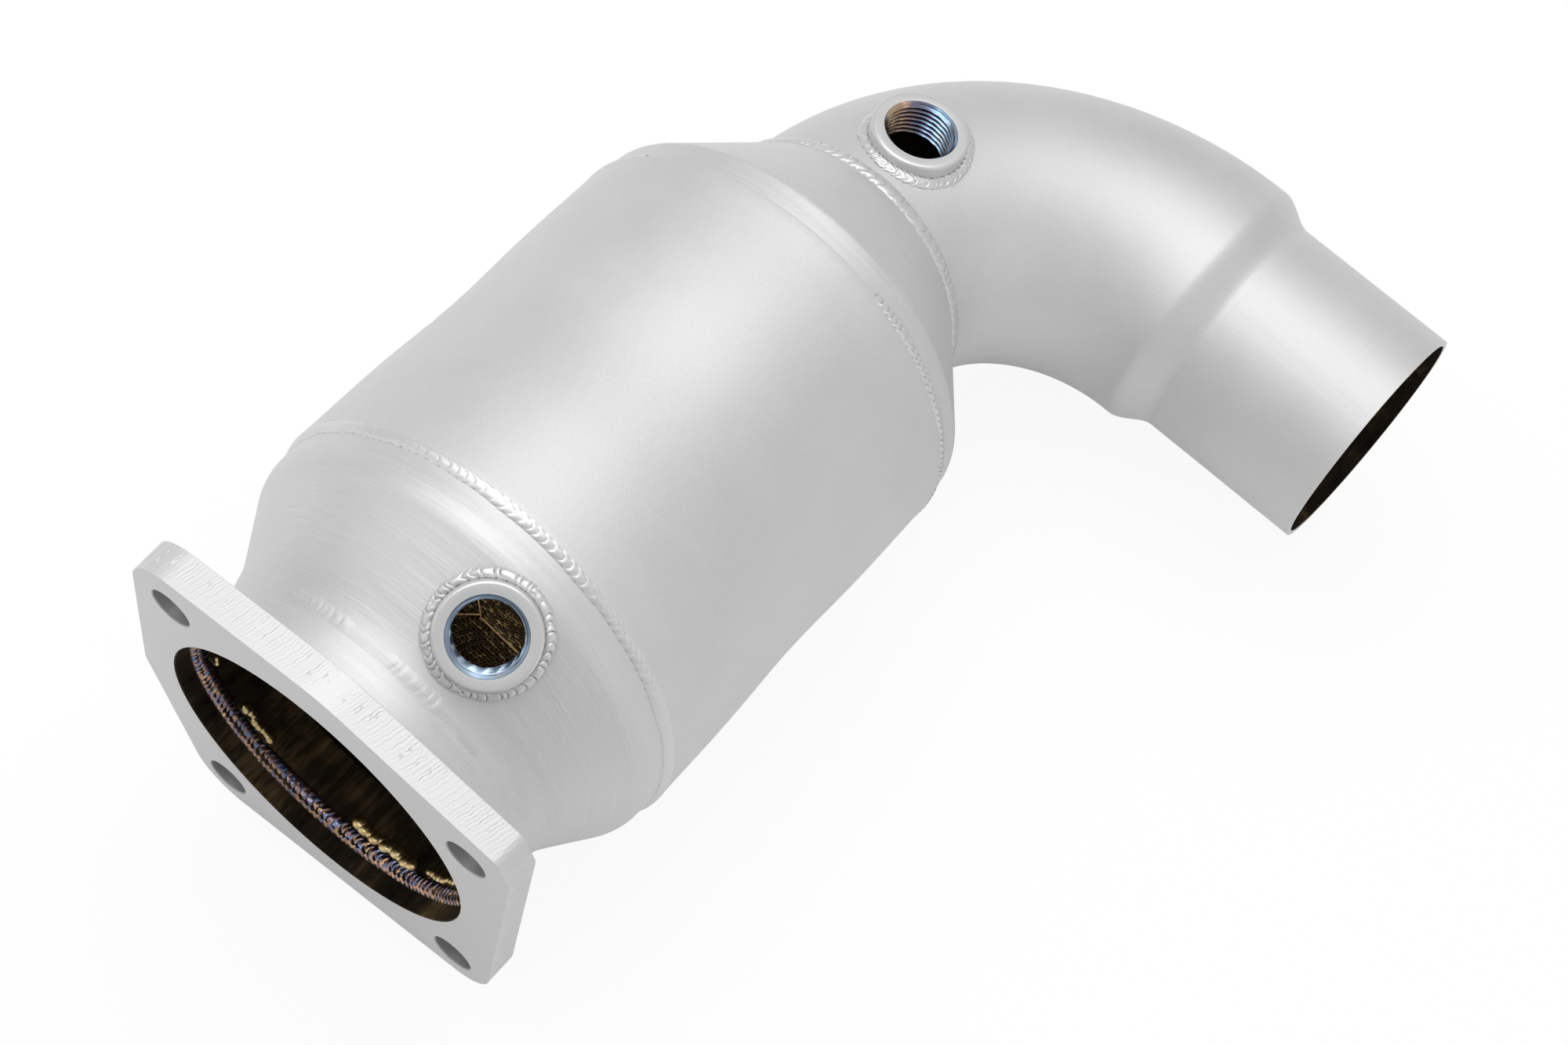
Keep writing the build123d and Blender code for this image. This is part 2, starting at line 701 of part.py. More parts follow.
for piece in (
    inlet_flange,
    flange_inner_weld,
    flange_rear_weld,
    weld_drips,
    inlet_neck,
    neck_weld,
    inlet_cone,
    inlet_sensor_bung,
    inlet_bung_weld,
    inlet_cone_weld,
    canister_shell,
    substrate_mantle,
    foil_core,
    outlet_cone,
    outlet_cone_weld,
    outlet_elbow,
    elbow_weld,
    outlet_sensor_bung,
    outlet_bung_weld,
    outlet_pipe,
    outlet_pipe_weld,
):
    export_step(piece.part, f"parts/{piece.part.label}.step")
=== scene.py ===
"""Looks of a welded steel catalytic converter.

Sizes are millimetres in the part's own frame, +X into the inlet flange and +Z towards the two
sensor bungs. They become metres when a mesh is made. Angles are degrees round a piece's own axis.
"""
import json
import logging
import math
from collections.abc import Callable
from dataclasses import dataclass
from enum import Enum

import bpy
import numpy as np
from mathutils import Matrix, Vector


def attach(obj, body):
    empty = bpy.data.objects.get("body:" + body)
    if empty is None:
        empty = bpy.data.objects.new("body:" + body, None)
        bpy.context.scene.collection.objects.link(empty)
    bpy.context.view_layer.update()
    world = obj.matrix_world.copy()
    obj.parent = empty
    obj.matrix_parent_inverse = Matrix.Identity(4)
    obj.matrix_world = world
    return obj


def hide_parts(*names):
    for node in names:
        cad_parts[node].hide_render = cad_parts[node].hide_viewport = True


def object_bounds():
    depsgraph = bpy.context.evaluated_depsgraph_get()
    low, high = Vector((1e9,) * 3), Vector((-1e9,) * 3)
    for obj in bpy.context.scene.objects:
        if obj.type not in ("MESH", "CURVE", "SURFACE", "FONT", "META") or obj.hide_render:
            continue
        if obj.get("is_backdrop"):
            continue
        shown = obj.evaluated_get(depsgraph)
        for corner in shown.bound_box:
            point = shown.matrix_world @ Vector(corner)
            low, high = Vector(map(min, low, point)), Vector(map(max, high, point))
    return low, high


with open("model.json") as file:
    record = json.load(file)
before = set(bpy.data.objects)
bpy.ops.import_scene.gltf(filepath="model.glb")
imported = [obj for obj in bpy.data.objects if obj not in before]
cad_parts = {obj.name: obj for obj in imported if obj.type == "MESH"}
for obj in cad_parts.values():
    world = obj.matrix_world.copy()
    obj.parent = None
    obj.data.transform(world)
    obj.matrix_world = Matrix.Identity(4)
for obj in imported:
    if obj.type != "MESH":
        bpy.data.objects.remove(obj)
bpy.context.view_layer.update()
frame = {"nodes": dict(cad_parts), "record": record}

MM = 0.001
BODY = "root"
TAU = 2.0 * math.pi
UNDERSIDE = 90.0
CREASE = 38.0
TOE_CREASE = 75.0
SMOOTH = 180.0
TIP = 0.001
FLOAT = "NodeSocketFloat"
VECTOR = "NodeSocketVector"
COLOUR = "NodeSocketColor"
Colour = tuple[float, float, float]
log = logging.getLogger("converter")


@dataclass(frozen=True)
class Axes:
    """A local frame: an origin and three unit directions, in millimetres of the part's frame."""

    origin: np.ndarray
    x: np.ndarray
    y: np.ndarray
    z: np.ndarray

    def point(self, x: np.ndarray, y: np.ndarray, z: np.ndarray) -> np.ndarray:
        """Points with the given parts along the three directions.

        Args:
            x, y, z: Distances, as numbers or arrays that broadcast together.

        Returns:
            Array with one more axis of length three.
        """
        x, y, z = np.broadcast_arrays(x, y, z)
        return self.origin + x[..., None] * self.x + y[..., None] * self.y + z[..., None] * self.z

    def polar(self, radius: np.ndarray, turn: np.ndarray, z: np.ndarray) -> np.ndarray:
        """Points at a radius and an angle in radians round the frame's z direction."""
        return self.point(radius * np.cos(turn), radius * np.sin(turn), z)

    def local(self, points: np.ndarray) -> np.ndarray:
        """Parts of points along the three directions."""
        offset = points - self.origin
        return np.stack([offset @ self.x, offset @ self.y, offset @ self.z], axis=-1)

    def outward(self, turn: np.ndarray) -> np.ndarray:
        """Directions away from the frame's z direction, at angles in radians."""
        return self.polar(1.0, turn, 0.0) - self.origin


def unit(vector: np.ndarray) -> np.ndarray:
    """The vector, or each vector in an array, at length one."""
    return vector / np.linalg.norm(vector, axis=-1, keepdims=True)


def axes_along(origin: np.ndarray, z: np.ndarray, towards: np.ndarray) -> Axes:
    """Frame with a given z direction, whose x direction lies as near as can be to another one."""
    z = unit(np.asarray(z, float))
    x = np.asarray(towards, float)
    x = unit(x - z * (x @ z))
    return Axes(np.asarray(origin, float), x, np.cross(z, x), z)


@dataclass(frozen=True)
class Layout:
    """Where the sub-assemblies stand, from the same driving sizes as the solids."""

    canister_start: float = 53.5
    canister_dip: float = 7.25
    elbow_start: tuple[float, float, float] = (-1.6, 3.8, 138.3)
    elbow_lean_side: float = -3.25
    elbow_lean_down: float = -5.75
    elbow_clocking: float = 176.3
    bend_radius: float = 68.7
    bend_angle: float = 89.0
    mouth_chamfer: float = 1.1

    @property
    def flange(self) -> Axes:
        """Frame of the mating face."""
        return axes_along((0.0, 0.0, 0.0), (1.0, 0.0, 0.0), (0.0, 1.0, 0.0))

    @property
    def canister(self) -> Axes:
        """Frame of the canister's inlet end."""
        dip = math.radians(self.canister_dip)
        return axes_along(
            (self.canister_start, 0.0, 0.0), (math.cos(dip), 0.0, -math.sin(dip)), (0.0, 1.0, 0.0)
        )

    @property
    def elbow(self) -> Axes:
        """Frame of the bend's start, whose x direction points to the bend's centre."""
        can = self.canister
        way = unit(
            math.tan(math.radians(self.elbow_lean_side)) * can.x
            + math.tan(math.radians(self.elbow_lean_down)) * can.y
            + can.z
        )
        level = axes_along(can.point(*self.elbow_start), way, can.x)
        turn = math.radians(self.elbow_clocking)
        return axes_along(level.origin, way, level.x * math.cos(turn) + level.y * math.sin(turn))

    def bend_station(self, turn: np.ndarray) -> tuple[np.ndarray, np.ndarray, np.ndarray]:
        """Centre line of the bend.

        Args:
            turn: Angles in radians from the bend's start.

        Returns:
            Centres, directions towards the bend's centre and directions along the tube.
        """
        start = self.elbow
        turn = np.asarray(turn, float)[..., None]
        centres = start.origin + self.bend_radius * ((1 - np.cos(turn)) * start.x + np.sin(turn) * start.z)
        inward = np.cos(turn) * start.x - np.sin(turn) * start.z
        along = np.sin(turn) * start.x + np.cos(turn) * start.z
        return centres, inward, along

    @property
    def outlet(self) -> Axes:
        """Frame of the bend's end."""
        centre, inward, along = self.bend_station(math.radians(self.bend_angle))
        return axes_along(centre, along, inward)

    def bung(self, mount: str, towards: np.ndarray) -> Axes:
        """Frame of a sensor bung, from the record's mount, with its origin on the bung's face."""
        record = next(m for m in frame["record"]["mounts"] if m["name"] == mount)
        axis = np.array(record["axis"], float)
        face = np.array(record["pos_m"], float) / MM + self.mouth_chamfer * axis
        return axes_along(face, axis, towards)


LAYOUT = Layout()
HOT_SIDE = np.array([0.63, -0.76, 0.17])
THREAD_STEEL = (0.82, 0.88, 0.92)


@dataclass
class Surface:
    """A grid of points that becomes a mesh: rows run along u and columns along v."""

    points: np.ndarray
    close_u: bool = True
    close_v: bool = True
    length_u: float = 1.0
    length_v: float = 1.0
    slots: np.ndarray | None = None

    def faces(self) -> tuple[np.ndarray, np.ndarray]:
        """Corner numbers of each quad, and the grid places of those corners for the UV map.

        Returns:
            Array of corner numbers (faces, 4) and array of grid places (faces, 4, 2), where the
            place past a closed edge is counted on and not wrapped.
        """
        count_u, count_v = self.points.shape[:2]
        last_u = count_u if self.close_u else count_u - 1
        last_v = count_v if self.close_v else count_v - 1
        i, j = np.meshgrid(np.arange(last_u), np.arange(last_v), indexing="ij")
        place = np.stack(
            [np.stack([i, i + 1, i + 1, i], -1), np.stack([j, j, j + 1, j + 1], -1)], -1
        ).reshape(-1, 4, 2)
        corner = (place[..., 0] % count_u) * count_v + place[..., 1] % count_v
        return corner, place

    def uv(self, place: np.ndarray) -> np.ndarray:
        """UV of each corner in millimetres along u and v."""
        count_u, count_v = self.points.shape[:2]
        return np.stack(
            [place[..., 0] * self.length_u / count_u, place[..., 1] * self.length_v / count_v], -1
        )


def enclosed(points: np.ndarray, corners: np.ndarray) -> float:
    """Signed volume of a closed quad mesh, above zero where its faces point outwards."""
    a, b, c, d = (points[corners[:, k]] for k in range(4))
    return float(np.sum(np.cross(a, b) * c + np.cross(a, c) * d)) / 6.0


def build_mesh(name: str, surfaces: list[Surface]) -> bpy.types.Mesh:
    """Puts surfaces into one mesh, in metres, with faces that point outwards and a UV map.

    Args:
        name: Name of the mesh.
        surfaces: Grids, each of them closed or a cap that joins closed ones.

    Returns:
        The new mesh, smooth shaded.
    """
    all_points, all_corners, all_uv, all_slots, offset = [], [], [], [], 0
    for surface in surfaces:
        flat = surface.points.reshape(-1, 3)
        corners, place = surface.faces()
        uv = surface.uv(place)
        slots = np.zeros(len(corners), np.int32) if surface.slots is None else surface.slots
        if enclosed(flat - flat.mean(0), corners) < 0:
            corners, uv = corners[:, ::-1], uv[:, ::-1]
        all_points.append(flat)
        all_corners.append(corners + offset)
        all_uv.append(uv)
        all_slots.append(slots)
        offset += len(flat)
    points = np.concatenate(all_points) * MM
    corners = np.concatenate(all_corners)
    mesh = bpy.data.meshes.new(name)
    mesh.vertices.add(len(points))
    mesh.vertices.foreach_set("co", points.astype(np.float32).ravel())
    mesh.loops.add(corners.size)
    mesh.loops.foreach_set("vertex_index", corners.astype(np.int32).ravel())
    mesh.polygons.add(len(corners))
    mesh.polygons.foreach_set("loop_start", np.arange(0, corners.size, 4, dtype=np.int32))
    mesh.polygons.foreach_set("material_index", np.concatenate(all_slots).astype(np.int32))
    mesh.polygons.foreach_set("use_smooth", np.ones(len(corners), bool))
    layer = mesh.uv_layers.new(name="surface")
    layer.data.foreach_set("uv", np.concatenate(all_uv).astype(np.float32).ravel())
    mesh.update()
    mesh.validate()
    return mesh


def link_new(name: str, data: bpy.types.ID) -> bpy.types.Object:
    """New object with the given data, in the scene."""
    made = bpy.data.objects.new(name, data)
    bpy.context.scene.collection.objects.link(made)
    return made


def add_piece(
    name: str,
    surfaces: list[Surface],
    materials: list[bpy.types.Material],
    node: str,
    cutters: tuple[Surface, ...] = (),
    cut_materials: tuple[bpy.types.Material, ...] = (),
    crease: float = CREASE,
) -> bpy.types.Object:
    """Makes a piece that stands for a solid of the frame.

    Args:
        name: Name of the piece.
        surfaces: Its grids.
        materials: Its materials, in the order of the surfaces' slot numbers.
        node: Solid that it replaces, whole or in part.
        cutters: Closed grids that are cut out of it.
        cut_materials: Finish of each cut. Where none is given, it is the last of the materials.
        crease: Angle in degrees past which two faces meet in a sharp edge.

    Returns:
        The new object.
    """
    mesh = build_mesh(name, surfaces)
    for material in materials:
        mesh.materials.append(material)
    piece = link_new(name, mesh)
    for cutter, material in zip(cutters, cut_materials or (materials[-1],) * len(cutters)):
        cut(piece, cutter, material)
    piece.data.shade_smooth()
    if crease < SMOOTH:
        piece.data.set_sharp_from_angle(angle=math.radians(crease))
    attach(piece, BODY)
    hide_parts(node)
    log.info("%s: %d faces", name, len(piece.data.polygons))
    return piece


def cut(piece: bpy.types.Object, cutter: Surface, material: bpy.types.Material) -> None:
    """Cuts a closed grid out of a piece and keeps the result as the piece's mesh."""
    mesh = build_mesh("cutter", [cutter])
    mesh.materials.append(material)
    tool = link_new("cutter", mesh)
    modifier = piece.modifiers.new("cut", "BOOLEAN")
    modifier.operation = "DIFFERENCE"
    modifier.solver = "EXACT"
    modifier.material_mode = "TRANSFER"
    modifier.object = tool
    bpy.context.view_layer.update()
    graph = bpy.context.evaluated_depsgraph_get()
    result = bpy.data.meshes.new_from_object(piece.evaluated_get(graph))
    piece.modifiers.clear()
    result.name = piece.name
    piece.data = result
    bpy.data.objects.remove(tool)


def ring_turns(count: int, seam: float = -90.0) -> np.ndarray:
    """Angles in radians of a ring of points, the first one at the seam."""
    return math.radians(seam) + np.arange(count) * TAU / count


def wobble(turn: np.ndarray, seed: int, waves: tuple[int, ...], fade: float = 1.0) -> np.ndarray:
    """Smooth noise round a ring: a sum of sine waves with drawn phases.

    Args:
        turn: Angles in radians.
        seed: Seed of the draw.
        waves: Whole numbers of waves round the ring.
        fade: Power by which a wave's size falls with its number.

    Returns:
        Values of about unit size.
    """
    draw = np.random.default_rng(seed)
    phases = draw.uniform(0.0, TAU, len(waves))
    sizes = draw.uniform(0.5, 1.0, len(waves)) / np.asarray(waves, float) ** fade
    total = sum(s * np.sin(w * turn + p) for s, w, p in zip(sizes, waves, phases))
    return total / np.sqrt(np.sum(sizes**2))


def rounded_meridian(
    rings: list[np.ndarray], reach: float, spans: list[int], round_steps: int
) -> np.ndarray:
    """Joins rings by straight rulings and rounds each inner corner.

    Each corner is replaced by the parabola whose control point is the corner and whose ends lie
    on the rulings at the reach.

    Args:
        rings: Rings of points (n, 3), in order.
        reach: Length of ruling that a rounding takes on each side.
        spans: Number of steps on each straight.
        round_steps: Number of steps in each rounding.

    Returns:
        Points (n, steps, 3) from the first ring to the last.
    """
    columns = []
    start = rings[0]
    for k in range(1, len(rings)):
        corner = rings[k]
        last = k == len(rings) - 1
        stop = corner if last else corner - reach * unit(corner - start)
        part = np.linspace(0.0, 1.0, spans[k - 1] + 1)[None, :, None]
        columns.append((start[:, None] * (1 - part) + stop[:, None] * part)[:, : None if last else -1])
        if not last:
            away = corner + reach * unit(rings[k + 1] - corner)
            t = np.linspace(0.0, 1.0, round_steps + 1)[None, :-1, None]
            columns.append(
                (1 - t) ** 2 * stop[:, None] + 2 * t * (1 - t) * corner[:, None] + t**2 * away[:, None]
            )
            start = away
    return np.concatenate(columns, axis=1)


def second_slot(columns: np.ndarray, rows: int) -> np.ndarray:
    """Slot numbers of a grid's faces: one in the marked columns and zero in the others."""
    return np.broadcast_to(columns, (rows, len(columns))).ravel().astype(np.int32)


def sheet(outer: np.ndarray, inner: np.ndarray, length_u: float, length_v: float) -> Surface:
    """Closed sheet from its outer and inner skins, whose inner faces take the second slot."""
    points = np.concatenate([outer, inner[:, ::-1]], axis=1)
    rows, columns = points.shape[:2]
    steps = np.arange(columns)
    inside = (steps >= outer.shape[1]) & (steps < columns - 1)
    return Surface(points, True, True, length_u, 2.0 * length_v, second_slot(inside, rows))


def add_tube(
    name: str,
    node: str,
    skin: Callable[[float], np.ndarray],
    wall: float,
    size: tuple[float, float],
    finishes: list[bpy.types.Material],
    cutters: tuple[Surface, ...] = (),
) -> None:
    """Makes a piece of bent sheet.

    Args:
        name: Name of the piece.
        node: Solid that it replaces.
        skin: Gives the points of the skin at an inset from the outer one.
        wall: Thickness of the sheet.
        size: Lengths round and along the sheet, for the UV map.
        finishes: Its outer and inner finish.
        cutters: Closed grids that are cut out of it.
    """
    add_piece(name, [sheet(skin(0.0), skin(wall), *size)], finishes, node, cutters)


class Tint(Enum):
    """Heat colours of steel, from the coolest to the hottest."""

    STRAW = (0.0, (0.55, 0.42, 0.20))
    GOLD = (0.20, (0.52, 0.26, 0.08))
    COPPER = (0.34, (0.28, 0.12, 0.07))
    PLUM = (0.46, (0.12, 0.06, 0.13))
    BLUE = (0.62, (0.03, 0.09, 0.28))
    ICE = (0.80, (0.16, 0.36, 0.60))
    GREY = (1.0, (0.30, 0.30, 0.32))


class Graph:
    """Short calls for the nodes and links of one node tree."""

    def __init__(self, tree: bpy.types.NodeTree) -> None:
        """Keeps the tree."""
        self.tree = tree

    def node(self, kind: str, **settings: object) -> bpy.types.Node:
        """New node. Settings that name an input set its value or link it, others set a property.

        Args:
            kind: Blender's node type.
            settings: Inputs, with spaces written as underscores, and properties.

        Returns:
            The node.
        """
        made = self.tree.nodes.new(kind)
        inputs = {}
        for key, value in settings.items():
            if hasattr(made, key):
                setattr(made, key, value)
            else:
                inputs[key] = value
        self.wire(made, **inputs)
        return made

    def feed(self, socket: bpy.types.NodeSocket, value: object) -> None:
        """Links a socket to another one, or sets its value."""
        if isinstance(value, bpy.types.NodeSocket):
            self.tree.links.new(value, socket)
        elif isinstance(value, tuple) and socket.type == "RGBA":
            socket.default_value = (*value, 1.0)
        else:
            socket.default_value = value

    def wire(self, made: bpy.types.Node, **inputs: object) -> None:
        """Feeds inputs of a node, by their names with spaces written as underscores."""
        for key, value in inputs.items():
            self.feed(made.inputs[key.replace("_", " ")], value)

    def math(
        self, operation: str, a: object, b: object = 0.0, clamp: bool = False
    ) -> bpy.types.NodeSocket:
        """Result of a Math node on two values or sockets."""
        made = self.tree.nodes.new("ShaderNodeMath")
        made.operation = operation
        made.use_clamp = clamp
        self.feed(made.inputs[0], a)
        self.feed(made.inputs[1], b)
        return made.outputs[0]

    def blend(self, a: object, share_a: float, b: object, share_b: float) -> bpy.types.NodeSocket:
        """Sum of two values or sockets, each times its share."""
        return self.math("ADD", self.math("MULTIPLY", a, share_a), self.math("MULTIPLY", b, share_b))

    def vector(self, operation: str, a: object, b: object = None) -> bpy.types.NodeSocket:
        """Result of a Vector Math node: a number for lengths and dot products, else a vector."""
        made = self.node("ShaderNodeVectorMath", operation=operation)
        self.feed(made.inputs[0], a)
        if b is not None:
            self.feed(made.inputs["Scale" if operation == "SCALE" else 1], b)
        return made.outputs["Value" if operation in ("LENGTH", "DOT_PRODUCT") else "Vector"]

    def bump(self, height: object, strength: float, distance: float, normal: object = None) -> object:
        """Normal bent by a height, on top of another normal where given."""
        made = self.node("ShaderNodeBump", Strength=strength, Distance=distance, Height=height)
        if normal is not None:
            self.feed(made.inputs["Normal"], normal)
        return made.outputs["Normal"]

    def mix(self, factor: object, a: object, b: object) -> bpy.types.NodeSocket:
        """Colour mixed from two colours or sockets."""
        made = self.tree.nodes.new("ShaderNodeMix")
        made.data_type = "RGBA"
        self.feed(made.inputs[0], factor)
        self.feed(made.inputs[6], a)
        self.feed(made.inputs[7], b)
        return made.outputs[2]

    def spread(
        self, value: object, low: float, high: float, to_low: float = 0.0, to_high: float = 1.0
    ) -> object:
        """A value's range stretched onto another one, and cut off past it."""
        made = self.node("ShaderNodeMapRange", From_Min=low, From_Max=high, To_Min=to_low, To_Max=to_high)
        self.feed(made.inputs["Value"], value)
        return made.outputs["Result"]

    def ramp(self, value: object, stops: list[tuple[float, Colour]]) -> bpy.types.NodeSocket:
        """Colour read from a ramp at a value."""
        made = self.tree.nodes.new("ShaderNodeValToRGB")
        elements = made.color_ramp.elements
        while len(elements) < len(stops):
            elements.new(0.5)
        for element, (place, colour) in zip(elements, stops):
            element.position = place
            element.color = (*colour, 1.0)
        self.feed(made.inputs["Fac"], value)
        return made.outputs["Color"]

    def noise(self, vector: object, scale: float, detail: float = 3.0, roughness: float = 0.5) -> object:
        """Value of a noise texture."""
        made = self.node("ShaderNodeTexNoise", Scale=scale, Detail=detail, Roughness=roughness)
        self.feed(made.inputs["Vector"], vector)
        return made.outputs["Fac"]

    def stretch(self, vector: object, scale: tuple[float, float, float]) -> bpy.types.NodeSocket:
        """Coordinates scaled along each direction."""
        made = self.node("ShaderNodeMapping", Scale=scale)
        self.feed(made.inputs["Vector"], vector)
        return made.outputs["Vector"]

    def group(self, name: str, **inputs: object) -> bpy.types.Node:
        """Placed copy of a shared group with its inputs set."""
        made = self.tree.nodes.new("ShaderNodeGroup")
        made.node_tree = bpy.data.node_groups[name]
        self.wire(made, **inputs)
        return made


def new_group(
    name: str, inputs: dict[str, tuple[str, object]], outputs: dict[str, str]
) -> tuple[Graph, object, object]:
    """Empty shared group.

    Args:
        name: Name of the group.
        inputs: Socket names with a socket kind and a default value.
        outputs: Socket names with a socket kind.

    Returns:
        The group's graph, its input node and its output node.
    """
    tree = bpy.data.node_groups.new(name, "ShaderNodeTree")
    for key, (kind, value) in inputs.items():
        socket = tree.interface.new_socket(name=key, in_out="INPUT", socket_type=kind)
        if value is not None:
            socket.default_value = value
    for key, kind in outputs.items():
        tree.interface.new_socket(name=key, in_out="OUTPUT", socket_type=kind)
    graph = Graph(tree)
    return graph, tree.nodes.new("NodeGroupInput"), tree.nodes.new("NodeGroupOutput")


def make_shared_groups() -> None:
    """Builds the groups of nodes behind the finishes: blast grain, brush lines, heat tint and soot."""
    graph, given, out = new_group("blast_grain", {"Vector": (VECTOR, None)}, {"Height": FLOAT, "Tone": FLOAT})
    place = given.outputs["Vector"]
    fine = graph.noise(place, 3200.0, 2.0, 0.6)
    coarse = graph.noise(place, 900.0, 3.0, 0.55)
    cloud = graph.noise(place, 28.0, 4.0, 0.6)
    speck = graph.spread(fine, 0.35, 0.7, -1.0, 1.0)
    patch = graph.spread(cloud, 0.3, 0.7, -1.0, 1.0)
    graph.wire(out, Height=graph.blend(fine, 0.6, coarse, 0.4), Tone=graph.blend(speck, 0.5, patch, 0.5))

    graph, given, out = new_group(
        "brush_lines",
        {"Vector": (VECTOR, None), "Amount": (FLOAT, 1.0)},
        {"Height": FLOAT, "Tone": FLOAT},
    )
    place, amount = given.outputs["Vector"], given.outputs["Amount"]
    lines = graph.noise(graph.stretch(place, (0.05, 2.2, 1.0)), 1.0, 4.0, 0.75)
    broad = graph.noise(graph.stretch(place, (0.03, 0.35, 1.0)), 1.0, 2.0, 0.5)
    where = graph.spread(broad, 0.36, 0.6)
    signed = graph.spread(lines, 0.3, 0.7, -1.0, 1.0)
    for name, value in (("Height", lines), ("Tone", signed)):
        graph.feed(out.inputs[name], graph.math("MULTIPLY", graph.math("MULTIPLY", value, where), amount))

    graph, given, out = new_group("heat_tint", {"Heat": (FLOAT, 0.5)}, {"Color": COLOUR})
    graph.wire(out, Color=graph.ramp(given.outputs["Heat"], [t.value for t in Tint]))

    graph, given, out = new_group(
        "soot", {"Vector": (VECTOR, None)}, {"Color": COLOUR, "Roughness": FLOAT, "Height": FLOAT}
    )
    streak = graph.noise(graph.stretch(given.outputs["Vector"], (60.0, 500.0, 500.0)), 1.0, 5.0, 0.65)
    cloud = graph.noise(given.outputs["Vector"], 60.0, 4.0, 0.6)
    blend = graph.blend(streak, 0.45, cloud, 0.55)
    stops = [
        (0.36, (0.006, 0.005, 0.004)),
        (0.50, (0.020, 0.014, 0.008)),
        (0.60, (0.070, 0.046, 0.022)),
        (0.72, (0.200, 0.130, 0.060)),
    ]
    rough = graph.spread(blend, 0.35, 0.7, 0.42, 0.7)
    graph.wire(out, Color=graph.ramp(blend, stops), Roughness=rough, Height=streak)


@dataclass(frozen=True)
class Finish:
    """What every finish has: a name, a colour and the shader's plain values."""

    name: str
    colour: Colour
    metallic: float = 1.0
    roughness: float = 0.5

    def start(self) -> tuple[Graph, bpy.types.Node, bpy.types.Material]:
        """New material with its plain values set.

        Returns:
            The material's graph, its surface shader and the material.
        """
        material = bpy.data.materials.new(self.name)
        material.use_nodes = True
        shader = material.node_tree.nodes["Principled BSDF"]
        shader.inputs["Base Color"].default_value = (*self.colour, 1.0)
        shader.inputs["Metallic"].default_value = self.metallic
        shader.inputs["Roughness"].default_value = self.roughness
        material.diffuse_color = (*self.colour, 1.0)
        return Graph(material.node_tree), shader, material

    def feeds(self, graph: Graph, place: object, uv: object) -> dict[str, object]:
        """What the finish feeds to the shader's inputs, by name: nothing, for a plain one.

        Args:
            graph: The material's graph.
            place: Coordinates in space, in metres.
            uv: Coordinates on the surface, in millimetres.

        Returns:
            Values and sockets.
        """
        return {}

    def make(self) -> bpy.types.Material:
        """Builds the material."""
        graph, shader, material = self.start()
        where = graph.node("ShaderNodeTexCoord")
        graph.wire(shader, **self.feeds(graph, where.outputs["Object"], where.outputs["UV"]))
        return material


@dataclass(frozen=True)
class BlastedSteel(Finish):
    """Bead-blasted stainless steel: a fine even grain, with brush lines where it was dressed."""

    metallic: float = 0.6
    roughness: float = 0.42
    grain_depth: float = 0.05
    brushing: float = 0.0
    speckle: float = 0.03
    unevenness: float = 0.05
    line_depth: float = 0.5

    def feeds(self, graph: Graph, place: object, uv: object) -> dict[str, object]:
        """Grain and lines. Colour and roughness follow their tone of about plus or minus one."""
        grain = graph.group("blast_grain", Vector=place).outputs
        lines = graph.group("brush_lines", Vector=uv, Amount=self.brushing).outputs
        tone = graph.math("ADD", grain["Tone"], lines["Tone"])
        gain = graph.math("ADD", graph.math("MULTIPLY", tone, self.speckle), 1.0)
        grainy = graph.bump(grain["Height"], self.grain_depth, 0.2 * MM)
        return dict(
            Base_Color=graph.vector("SCALE", self.colour, gain),
            Roughness=graph.math("ADD", graph.math("MULTIPLY", tone, self.unevenness), self.roughness),
            Normal=graph.bump(lines["Height"], self.line_depth, 0.12 * MM, grainy),
        )


@dataclass(frozen=True)
class SootedSteel(Finish):
    """Inner walls: dark and streaked from heat and soot, with hardly any gloss."""

    gloss: float = 0.06

    def feeds(self, graph: Graph, place: object, uv: object) -> dict[str, object]:
        """Colour, roughness and height of the soot."""
        soot = graph.group("soot", Vector=place).outputs
        return dict(
            Specular_IOR_Level=self.gloss,
            Base_Color=soot["Color"],
            Roughness=soot["Roughness"],
            Normal=graph.bump(soot["Height"], 0.25, 0.8 * MM),
        )


@dataclass(frozen=True)
class TintedSteel(Finish):
    """Steel with heat colours that run in bands across the surface."""

    low: float = 0.2
    high: float = 0.9
    patch: float = 0.5
    across: float = 1.0
    grey: float = 0.0
    patch_scale: float = 240.0

    def feeds(self, graph: Graph, place: object, uv: object) -> dict[str, object]:
        """Heat that runs across v from low to high, broken up by noise, over fine pits."""
        parts = graph.node("ShaderNodeSeparateXYZ")
        graph.feed(parts.inputs[0], uv)
        cloud = graph.noise(place, self.patch_scale, 4.0, 0.7)
        band = graph.spread(parts.outputs["Y"], 0.0, self.across, self.low, self.high)
        shift = graph.spread(cloud, 0.3, 0.7, -self.patch, self.patch)
        tint = graph.group("heat_tint", Heat=graph.math("ADD", band, shift, clamp=True))
        return dict(
            Base_Color=graph.mix(self.grey, tint.outputs["Color"], self.colour),
            Normal=graph.bump(graph.noise(place, 1500.0, 2.0, 0.5), 0.15, 0.2 * MM),
        )


